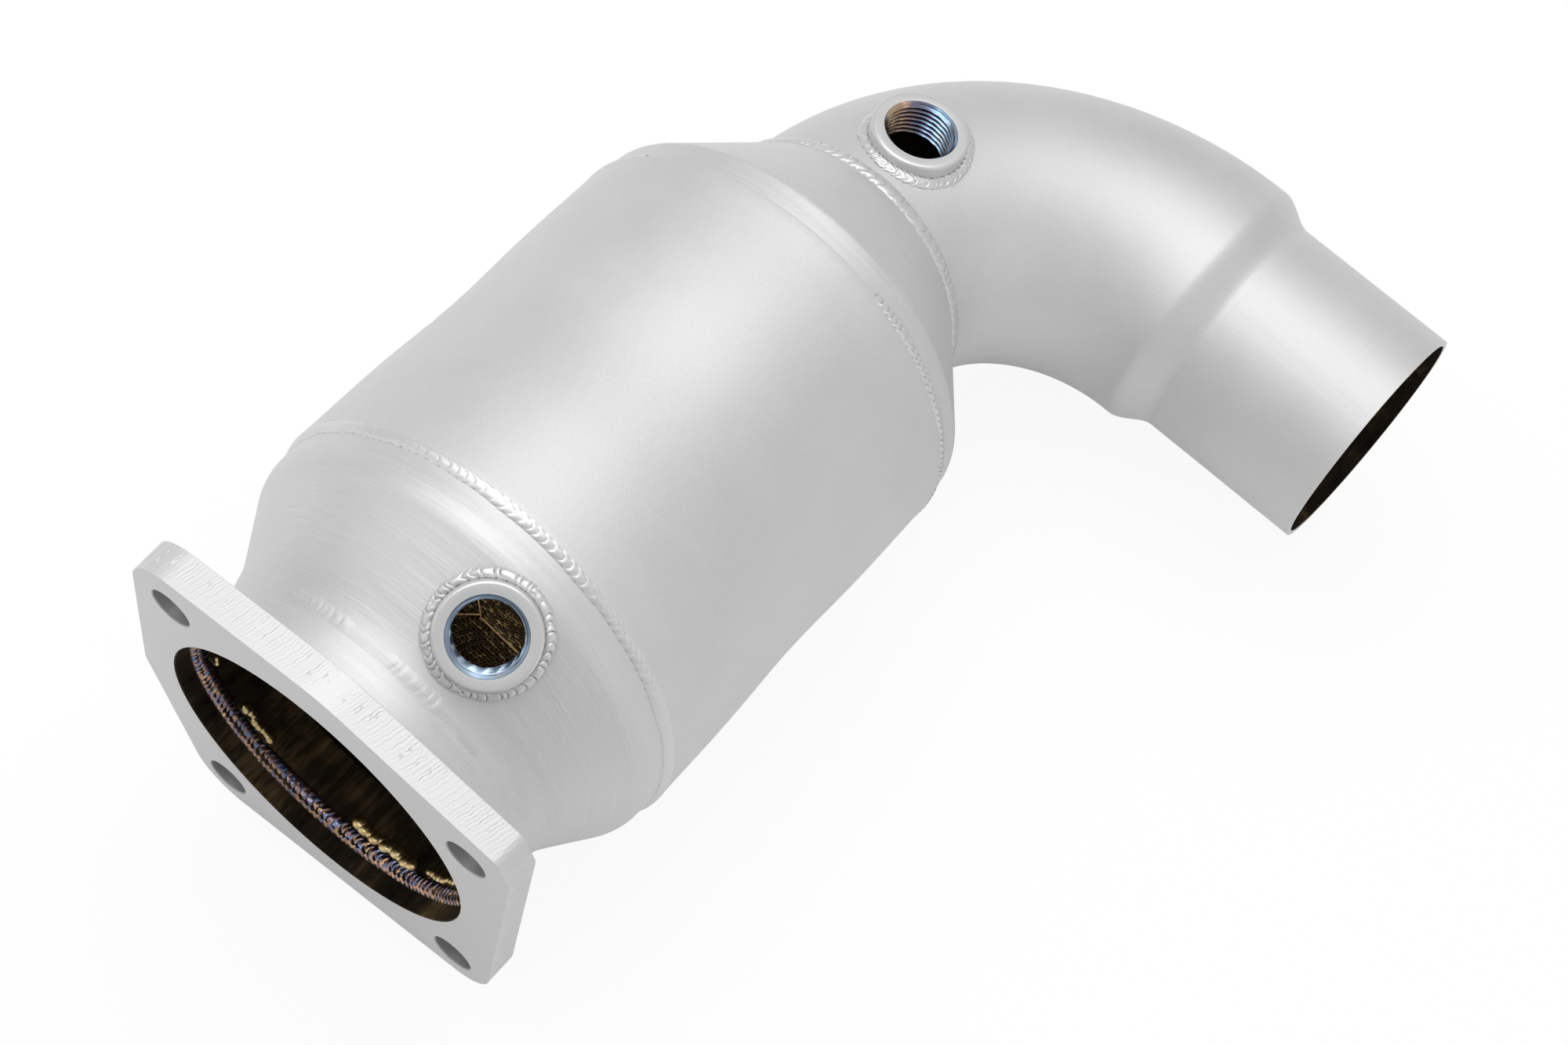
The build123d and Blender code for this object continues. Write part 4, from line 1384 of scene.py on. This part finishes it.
    def build(
        self,
        axes: Axes,
        toe_a: np.ndarray,
        toe_b: np.ndarray,
        lean: float,
        material: bpy.types.Material,
        facing: float = 1.0,
        corner: np.ndarray | None = None,
    ) -> None:
        """Makes the bead between its toe lines.

        Args:
            axes: Frame that the bead goes round.
            toe_a, toe_b: Toe lines (n, 3).
            lean: Share of the frame's z direction in the way that the bead faces.
            material: Its finish.
            facing: One where the bead faces away from the axis, minus one where it faces it.
            corner: Line of the hollow corner, if any.
        """
        up = unit(facing * axes.outward(self.turns) + lean * axes.z)
        surface = self.surface(toe_a, toe_b, up, corner)
        add_piece(self.name, [surface], [material], self.node, crease=TOE_CREASE)


@dataclass(frozen=True)
class Welds:
    """Every bead, set against the pieces that it joins. The toes stand clear of the sheets."""

    inlet: InletEnd
    outlet: OutletEnd
    clear: float = 0.02
    flange_front: float = 5.0
    flange_rear: float = 8.9
    inner_reach: float = 9.4
    rear_reach: float = 11.7
    rear_width: float = 2.8
    shell_radius: float = 59.4
    cone_toe: float = 108.9
    lip_toe: float = 106.0

    def neck(self, material: bpy.types.Material) -> None:
        """Broad bead from the neck on to the cone, partly dressed."""
        vigour = (
            (0, 0.1), (47, 0.1), (50, 0.8), (66, 0.8), (68, 0.5), (70, 1.0), (74, 1.0), (76, 0.45),
            (88, 0.45), (91, 0.9), (106, 1.0), (108, 0.9), (112, 0.7), (115, 0.4), (121, 0.5), (127, 0.4),
            (130, 0.1), (360, 0.1),
        )
        bead = WeldBead(
            "neck_bead", "neck_weld", height=0.38, pitch=2.3, seed=11, sink=0.7, softness=1.3, swell=0.0,
            vigour=vigour, band=(0.46, 0.17), fade=0.9, columns=1000, rows=24,
        )
        turns, flange, clear = bead.turns, LAYOUT.flange, 0.5 * self.clear
        base = flange.polar(self.inlet.neck_radius, turns, self.inlet.cone_start)
        far = LAYOUT.canister.polar(self.inlet.collar_radius, turns, self.inlet.shoulder)
        width = 1.0 + 0.05 * wobble(turns, 3, (4, 9, 17), 0.3)
        start = self.inlet.cone_start - 7.0 * width
        toe_a = flange.polar(self.inlet.neck_radius + clear, turns, start)
        radial = flange.outward(turns)
        toe_b = base + unit(far - base) * (8.0 * width)[:, None] + clear * radial
        bead.build(flange, toe_a, toe_b, -0.25, material, corner=base + clear * radial)

    def inlet_seam(self, material: bpy.types.Material) -> None:
        """Narrow lap bead at the canister's inlet end."""
        vigour = (
            (0, 0.3), (35, 0.5), (60, 0.5), (78, 0.8), (84, 1.0), (138, 1.0), (146, 0.4), (165, 0.3),
            (200, 0.25), (360, 0.3),
        )
        bead = WeldBead(
            "inlet_seam_bead", "inlet_cone_weld", height=0.44, pitch=2.7, seed=23, bow=0.7, sink=0.5,
            softness=0.65, swell=0.4, vigour=vigour, rows=12,
        )
        turns, can = bead.turns, LAYOUT.canister
        width = 1.0 + 0.10 * wobble(turns, 5, (6, 11, 19, 29), 0.3)
        toe_a = can.polar(self.inlet.collar_radius + self.clear, turns, -1.7 * width)
        toe_b = can.polar(self.shell_radius + self.clear, turns, width)
        bead.build(can, toe_a, toe_b, -0.5, material)

    def outlet_seam(self, material: bpy.types.Material) -> None:
        """Low bead at the canister's outlet end, which leaves part of the step bare."""
        vigour = ((0, 0.4), (112, 1.0), (215, 1.0), (240, 0.4), (300, 0.3), (360, 0.4))
        bead = WeldBead(
            "outlet_seam_bead", "outlet_cone_weld", height=0.8, pitch=2.2, seed=31, ripple=1.25, bow=0.7,
            sink=0.4, softness=0.5, swell=0.3, vigour=vigour, disc=0.85, fade=0.85, arc=(112.0, 397.0),
            rows=10,
        )
        turns, can = bead.turns, LAYOUT.canister
        edge = self.cone_toe + 0.12 * wobble(turns, 6, (9, 17, 26), 0.2)
        toe_a = can.polar(self.outlet.collar_radius + self.clear, turns, edge)
        toe_b = can.polar(58.03 - 0.25 * np.clip(-np.sin(turns), 0.0, 1.0), turns, self.lip_toe)
        bead.build(can, toe_a, toe_b, 0.5, material)

    def elbow(self, material: bpy.types.Material) -> None:
        """Bead between the cone's sleeve and the bent tube."""
        vigour = ((0, 0.4), (200, 0.5), (222, 1.0), (268, 1.0), (300, 0.8), (330, 0.6), (360, 0.4))
        bead = WeldBead(
            "elbow_bead", "elbow_weld", height=0.9, pitch=2.8, seed=43, bow=0.8, softness=0.7, swell=0.6,
            vigour=vigour, disc=0.4, columns=1400,
        )
        turns, elbow = bead.turns, LAYOUT.elbow
        width = 1.0 + 0.10 * wobble(turns, 8, (5, 12, 21), 0.3)
        sleeve = self.outlet.tube_radius + self.outlet.cone_wall
        toe_a = elbow.polar(sleeve + 0.05, turns, -1.0 - 1.5 * width)
        toe_b = elbow.polar(self.outlet.tube_radius + self.clear, turns, 1.9 * width)
        bead.build(elbow, toe_a, toe_b, 0.45, material)

    def flange_inside(self, material: bpy.types.Material) -> None:
        """Tinted bead on the neck's bevelled front edge."""
        bead = WeldBead(
            "port_bead", "flange_inner_weld", height=1.0, pitch=1.7, seed=57, ripple=0.8, sink=0.5,
            softness=0.6, swell=0.2, columns=1500,
        )
        turns, flange = bead.turns, LAYOUT.flange
        bore = self.inlet.neck_radius - self.inlet.neck_wall
        far = self.inner_reach + 0.2 * wobble(turns, 9, (7, 15, 24), 0.2)
        toe_a = flange.polar(bore + self.inlet.bevel, turns, self.flange_front + self.clear)
        toe_b = flange.polar(bore, turns, far)
        bead.build(flange, toe_a, toe_b, -0.3, material, facing=-1.0)

    def flange_behind(self, material: bpy.types.Material) -> None:
        """Fillet between the neck and the flange's rear face."""
        bead = WeldBead(
            "rear_bead", "flange_rear_weld", height=0.6, pitch=2.0, seed=61, ripple=0.6, columns=600, rows=10
        )
        turns, flange = bead.turns, LAYOUT.flange
        reach = self.inlet.neck_radius + self.rear_width + 0.12 * wobble(turns, 4, (8, 17), 0.2)
        far = self.rear_reach + 0.12 * wobble(turns, 2, (8, 17), 0.2)
        toe_a = flange.polar(reach, turns, self.flange_rear + self.clear)
        toe_b = flange.polar(self.inlet.neck_radius + self.clear, turns, far)
        bead.build(flange, toe_a, toe_b, 1.0, material)

    def front_bung(self, bung: SensorBung, material: bpy.types.Material) -> None:
        """Bead round the bung on the inlet cone."""
        bead = WeldBead(
            "inlet_bung_bead", "inlet_bung_weld", height=1.05, pitch=2.2, seed=71, ripple=0.85, bow=0.5,
            sink=0.7, softness=0.5, swell=0.4, disc=0.8, columns=1200, rows=16,
        )
        self.bung(bung, self.inlet.cone_skin(0.0), bead, 1.2, 2.25, material)

    def rear_bung(self, bung: SensorBung, material: bpy.types.Material) -> None:
        """Bead round the bung on the elbow."""
        bead = WeldBead(
            "outlet_bung_bead", "outlet_bung_weld", height=0.5, pitch=2.0, seed=83, bow=1.4, sink=0.7,
            softness=0.6, swell=0.6, disc=0.4, columns=1100,
        )
        self.bung(bung, self.outlet.bend_skin(0.0), bead, 0.9, 2.3, material)

    def bung(
        self,
        bung: SensorBung,
        skin: np.ndarray,
        bead: WeldBead,
        lift: float,
        width: float,
        material: bpy.types.Material,
    ) -> None:
        """Bead round a bung on a curved sheet.

        The sheet's height over the bung's own plane is a cubic in two directions, fitted to the
        points of the skin near the bung.

        Args:
            bung: The bung.
            skin: Points of the sheet's outer skin.
            bead: The bead's looks.
            lift: Height of the upper toe over the sheet, on the bung's wall.
            width: Distance of the lower toe from the bung's wall.
            material: Its finish.
        """
        near = bung.axes.local(skin.reshape(-1, 3))
        reach = np.hypot(near[:, 0], near[:, 1])
        near = near[(reach < 19.0) & (reach > 8.0) & (near[:, 2] > -14.0) & (near[:, 2] < 4.0)]

        def terms(x: np.ndarray, y: np.ndarray) -> np.ndarray:
            """Terms of the cubic at places."""
            return np.stack([x**0, x, y, x * x, x * y, y * y, x**3, x * x * y, x * y * y, y**3], -1)

        fit = np.linalg.lstsq(terms(near[:, 0], near[:, 1]), near[:, 2], rcond=None)[0]
        turns = bead.turns

        def on_sheet(radius: np.ndarray) -> np.ndarray:
            """Height of the sheet at a radius from the bung's axis."""
            return terms(radius * np.cos(turns), radius * np.sin(turns)) @ fit

        uneven = 1.0 + 0.10 * wobble(turns, bead.seed + 2, (2, 3, 5, 8, 13), 0.5)
        toe_radius = bung.radius + width * uneven
        toe_a = bung.axes.polar(bung.radius, turns, on_sheet(bung.radius) + lift * uneven)
        toe_b = bung.axes.polar(toe_radius, turns, on_sheet(toe_radius) + self.clear)
        bead.build(bung.axes, toe_a, toe_b, 1.0, material)


@dataclass(frozen=True)
class FoilCore:
    """Wound honeycomb: smooth and corrugated foils in three stacks that meet on a Y."""

    start: float = 3.0
    length: float = 94.0
    radius: float = 55.6
    pitch: float = 1.6
    foil: float = 0.17
    wave: float = 2.2
    clocking: float = 7.0
    winding_turn: float = -30.0
    web: float = 0.5
    smooth_step: float = 1.6
    rim_gap: float = 0.3

    def strips(self, sector: int) -> list[Surface]:
        """Foils of one stack.

        A smooth foil is an arc round the winding point on the rim. The corrugated foil between
        two smooth ones is an arc whose radius rises and falls in a triangular wave. Each is kept
        where it lies inside the sector and the rim.
        """
        bisector = math.radians(self.clocking + 120.0 * sector)
        at = bisector + math.radians(self.winding_turn)
        centre = self.radius * np.array([math.cos(at), math.sin(at)])
        made = []
        for layer in range(1, int(math.sqrt(2.0) * self.radius / self.pitch)):
            base = layer * self.pitch
            made += self.runs(centre, base, 0.0, bisector)
            made += self.runs(centre, base + 0.5 * self.pitch, 0.5 * self.pitch - self.foil, bisector)
        return made

    def runs(self, centre: np.ndarray, base: float, size: float, bisector: float) -> list[Surface]:
        """Strips of one foil, cut where it leaves its sector."""
        step = self.wave / 4.0 if size else self.smooth_step
        count = max(8, int(TAU * base / step / 4.0) * 4)
        turn = np.arange(count) * TAU / count
        wave = size * np.array([0.0, 1.0, 0.0, -1.0])[np.arange(count) % 4]
        line = centre + (base + wave)[:, None] * np.stack([np.cos(turn), np.sin(turn)], -1)
        angle = (np.arctan2(line[:, 1], line[:, 0]) - bisector + math.pi) % TAU - math.pi
        reach = np.hypot(line[:, 0], line[:, 1])
        inside = (np.abs(angle) < math.pi / 3.0) & (reach < self.radius - self.rim_gap)
        if not inside.any():
            return []
        first = int(np.argmin(inside)) if not inside.all() else 0
        order = (np.arange(count) + first) % count
        kept = inside[order].astype(int)
        edges = np.flatnonzero(np.diff(np.concatenate([[0], kept, [0]])))
        return [
            self.strip(line[order[a:b]], self.foil) for a, b in zip(edges[::2], edges[1::2]) if b - a > 2
        ]

    def strip(self, line: np.ndarray, thickness: float) -> Surface:
        """Thin wall along a line, through the whole depth of the core."""
        tangent = np.gradient(line, axis=0)
        side = 0.5 * thickness * unit(np.stack([-tangent[:, 1], tangent[:, 0]], -1))
        loop = np.concatenate([line + side, (line - side)[::-1]])
        ends = [self.start, self.start + self.length]
        rings = [LAYOUT.canister.point(loop[:, 0], loop[:, 1], z) for z in ends]
        middle = [LAYOUT.canister.point(*np.concatenate([line, line[::-1]]).T, z) for z in ends]
        return Surface(np.stack([middle[0], rings[0], rings[1], middle[1]], 1), True, False)

    def build(self, materials: Materials) -> None:
        """Makes the three stacks and the webs between them."""
        for sector in range(3):
            surfaces = self.strips(sector)
            edge = math.radians(self.clocking + 120.0 * sector + 60.0)
            out = np.linspace(0.0, self.radius - self.rim_gap, 40)
            sway = 0.5 * np.sin(out / 9.0 + sector)
            x = out * math.cos(edge) - sway * math.sin(edge)
            y = out * math.sin(edge) + sway * math.cos(edge)
            web = self.strip(np.stack([x, y], -1), self.web)
            web.slots = np.ones(len(web.faces()[0]), np.int32)
            name, finishes = f"foil_stack_{sector + 1}", [materials.foil, materials.web]
            add_piece(name, [*surfaces, web], finishes, "foil_core", crease=SMOOTH)


@dataclass(frozen=True)
class WeldRun:
    """A row of lumps of weld metal: its two ends as angle and station, and the lumps' size."""

    start: tuple[float, float]
    stop: tuple[float, float]
    lumps: int
    size: float
    proud: float


@dataclass(frozen=True)
class Drips:
    """Runs of weld metal inside the neck, behind the tinted bead."""

    wall_radius: float = 42.5
    runs: tuple[WeldRun, ...] = (
        WeldRun((-99.3, 10.6), (-123.5, 10.1), 11, 1.75, 0.6),
        WeldRun((-44.8, 10.8), (-58.4, 10.6), 8, 1.2, 0.7),
        WeldRun((-132.2, 10.5), (-146.4, 10.5), 8, 1.5, 0.6),
        WeldRun((-18.8, 10.6), (-20.6, 10.6), 2, 0.9, 0.8),
    )

    def build(self, materials: Materials) -> None:
        """Makes each run as overlapping low domes whose sizes and places are drawn."""
        surfaces = []
        draw = np.random.default_rng(5)
        turns = ring_turns(28)[:, None]
        lift = np.linspace(0.0, math.pi, 15)[None]
        for run in self.runs:
            for part in np.linspace(0.0, 1.0, run.lumps):
                size = run.size * draw.uniform(0.75, 1.2)
                angle, station = (1.0 - part) * np.array(run.start) + part * np.array(run.stop)
                station += 0.25 * run.size * draw.uniform(-1.0, 1.0)
                around = 1.15 * size * np.sin(lift) * np.cos(turns)
                along = size * np.sin(lift) * np.sin(turns)
                turn = math.radians(angle) + around / self.wall_radius
                radius = self.wall_radius - run.proud * size * np.cos(lift)
                points = LAYOUT.flange.polar(radius, turn, station + along)
                surfaces.append(Surface(points, True, False, TAU * size, 2.0 * size))
        add_piece("weld_runs", surfaces, [materials.drip], "weld_drips", crease=SMOOTH)


@dataclass(frozen=True)
class Lamp:
    """Soft rectangular lamp, with its place right, up and back of the view, in metres."""

    name: str
    place: tuple[float, float, float]
    size: tuple[float, float]
    watts: float


@dataclass(frozen=True)
class Studio:
    """Camera at the photographed angle, soft lamps, white surroundings and a pale floor."""

    eye: tuple[float, float, float] = (-194.09, -132.97, 777.34)
    right: tuple[float, float, float] = (0.63168, -0.75743, 0.16517)
    down: tuple[float, float, float] = (-0.67779, -0.64302, -0.35654)
    ahead: tuple[float, float, float] = (0.37626, 0.11327, -0.91956)
    lens: float = 81.0
    sensor: float = 36.0
    aim: tuple[float, float, float] = (110.0, -20.0, 0.0)
    floor_gap: float = 2.0
    surroundings: float = 0.58
    floor_glow: float = 0.9
    floor_reach: float = 6000.0
    lamps: tuple[Lamp, ...] = (
        Lamp("key", (0.05, 0.62, 0.80), (1.3, 0.9), 8.25),
        Lamp("side", (-0.9, 0.05, 0.45), (0.5, 0.8), 0.8),
        Lamp("fill", (0.85, -0.45, 0.5), (0.8, 0.8), 1.0),
    )

    def camera(self) -> None:
        """Places the camera."""
        data = bpy.data.cameras.new("camera")
        data.lens = self.lens
        data.sensor_width = self.sensor
        data.clip_start = 0.01
        camera = link_new("camera", data)
        turn = Matrix((self.right, [-c for c in self.down], [-c for c in self.ahead])).transposed()
        camera.matrix_world = Matrix.Translation(Vector(self.eye) * MM) @ turn.to_4x4()
        bpy.context.scene.camera = camera

    def light(self, lamp: Lamp) -> None:
        """Places a lamp so that it faces the object."""
        data = bpy.data.lights.new(lamp.name, "AREA")
        data.shape = "RECTANGLE"
        data.size, data.size_y = lamp.size
        data.energy = lamp.watts
        made = link_new(lamp.name, data)
        aim = Vector(self.aim) * MM
        side, up, back = Vector(self.right), -Vector(self.down), -Vector(self.ahead)
        made.location = aim + side * lamp.place[0] + up * lamp.place[1] + back * lamp.place[2]
        made.rotation_euler = (aim - made.location).to_track_quat("-Z", "Y").to_euler()

    def world(self) -> None:
        """Even surroundings, which the camera and transmission paths see as white."""
        world = bpy.data.worlds.new("studio")
        bpy.context.scene.world = world
        world.use_nodes = True
        graph = Graph(world.node_tree)
        back = world.node_tree.nodes["Background"]
        path = graph.node("ShaderNodeLightPath")
        seen = graph.math("MAXIMUM", path.outputs["Is Camera Ray"], path.outputs["Is Transmission Ray"])
        level = graph.math("MAXIMUM", seen, self.surroundings)
        back.inputs["Color"].default_value = (1.0, 1.0, 1.0, 1.0)
        graph.feed(back.inputs["Strength"], level)

    def floor(self) -> None:
        """Pale floor under the object."""
        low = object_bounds()[0][2] / MM - self.floor_gap
        span = np.array([-1.0, 1.0]) * self.floor_reach
        x, y = np.meshgrid(span, span, indexing="ij")
        points = np.stack([x, y, np.full_like(x, low)], -1)
        mesh = build_mesh("floor", [Surface(points, False, False)])
        graph, shader, material = Finish("floor_white", (0.93, 0.93, 0.93), 0.0, 0.9).start()
        shader.inputs["Specular IOR Level"].default_value = 0.0
        path = graph.node("ShaderNodeLightPath")
        glow = graph.node("ShaderNodeEmission", Color=(1.0, 1.0, 1.0), Strength=1.0)
        mixer = graph.node("ShaderNodeMixShader")
        away = graph.math("MULTIPLY", path.outputs["Is Camera Ray"], self.floor_glow)
        graph.feed(mixer.inputs[0], away)
        graph.tree.links.new(shader.outputs[0], mixer.inputs[1])
        graph.tree.links.new(glow.outputs[0], mixer.inputs[2])
        out = material.node_tree.nodes["Material Output"]
        graph.tree.links.new(mixer.outputs[0], out.inputs["Surface"])
        mesh.materials.append(material)
        link_new("floor", mesh)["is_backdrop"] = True

    def build(self) -> None:
        """Sets up the whole studio."""
        self.camera()
        self.world()
        for lamp in self.lamps:
            self.light(lamp)
        self.floor()
        bpy.context.scene.view_settings.view_transform = "Standard"


def main() -> None:
    """Builds every piece in order."""
    logging.basicConfig(level=logging.INFO, format="%(name)s: %(message)s")
    materials = Materials.make()
    up = np.array([0.0, 0.0, 1.0])
    inlet, outlet = InletEnd(), OutletEnd()
    front_axes = LAYOUT.bung("inlet_sensor_port", up)
    rear_axes = LAYOUT.bung("outlet_sensor_port", LAYOUT.elbow.z)
    front_bung = SensorBung("inlet_bung", "inlet_sensor_bung", front_axes)
    rear_bung = SensorBung("outlet_bung", "outlet_sensor_bung", rear_axes)
    FlangePlate().build(materials)
    inlet.build(materials, front_bung)
    CanisterShell().build(materials)
    outlet.build(materials, rear_bung)
    front_bung.build(materials, materials.front_thread)
    rear_bung.build(materials, materials.rear_thread)
    welds = Welds(inlet, outlet)
    welds.neck(materials.dressed)
    welds.inlet_seam(materials.weld)
    welds.outlet_seam(materials.weld)
    welds.elbow(materials.weld)
    welds.flange_inside(materials.inner_weld)
    welds.flange_behind(materials.weld)
    welds.front_bung(front_bung, materials.weld)
    welds.rear_bung(rear_bung, materials.weld)
    FoilCore().build(materials)
    Drips().build(materials)
    mantle = frame["nodes"]["substrate_mantle"]
    mantle.data.materials.clear()
    mantle.data.materials.append(materials.soot)
    log.info("substrate_mantle: dressed")
    Studio().build()


if __name__ == "__main__":
    main()
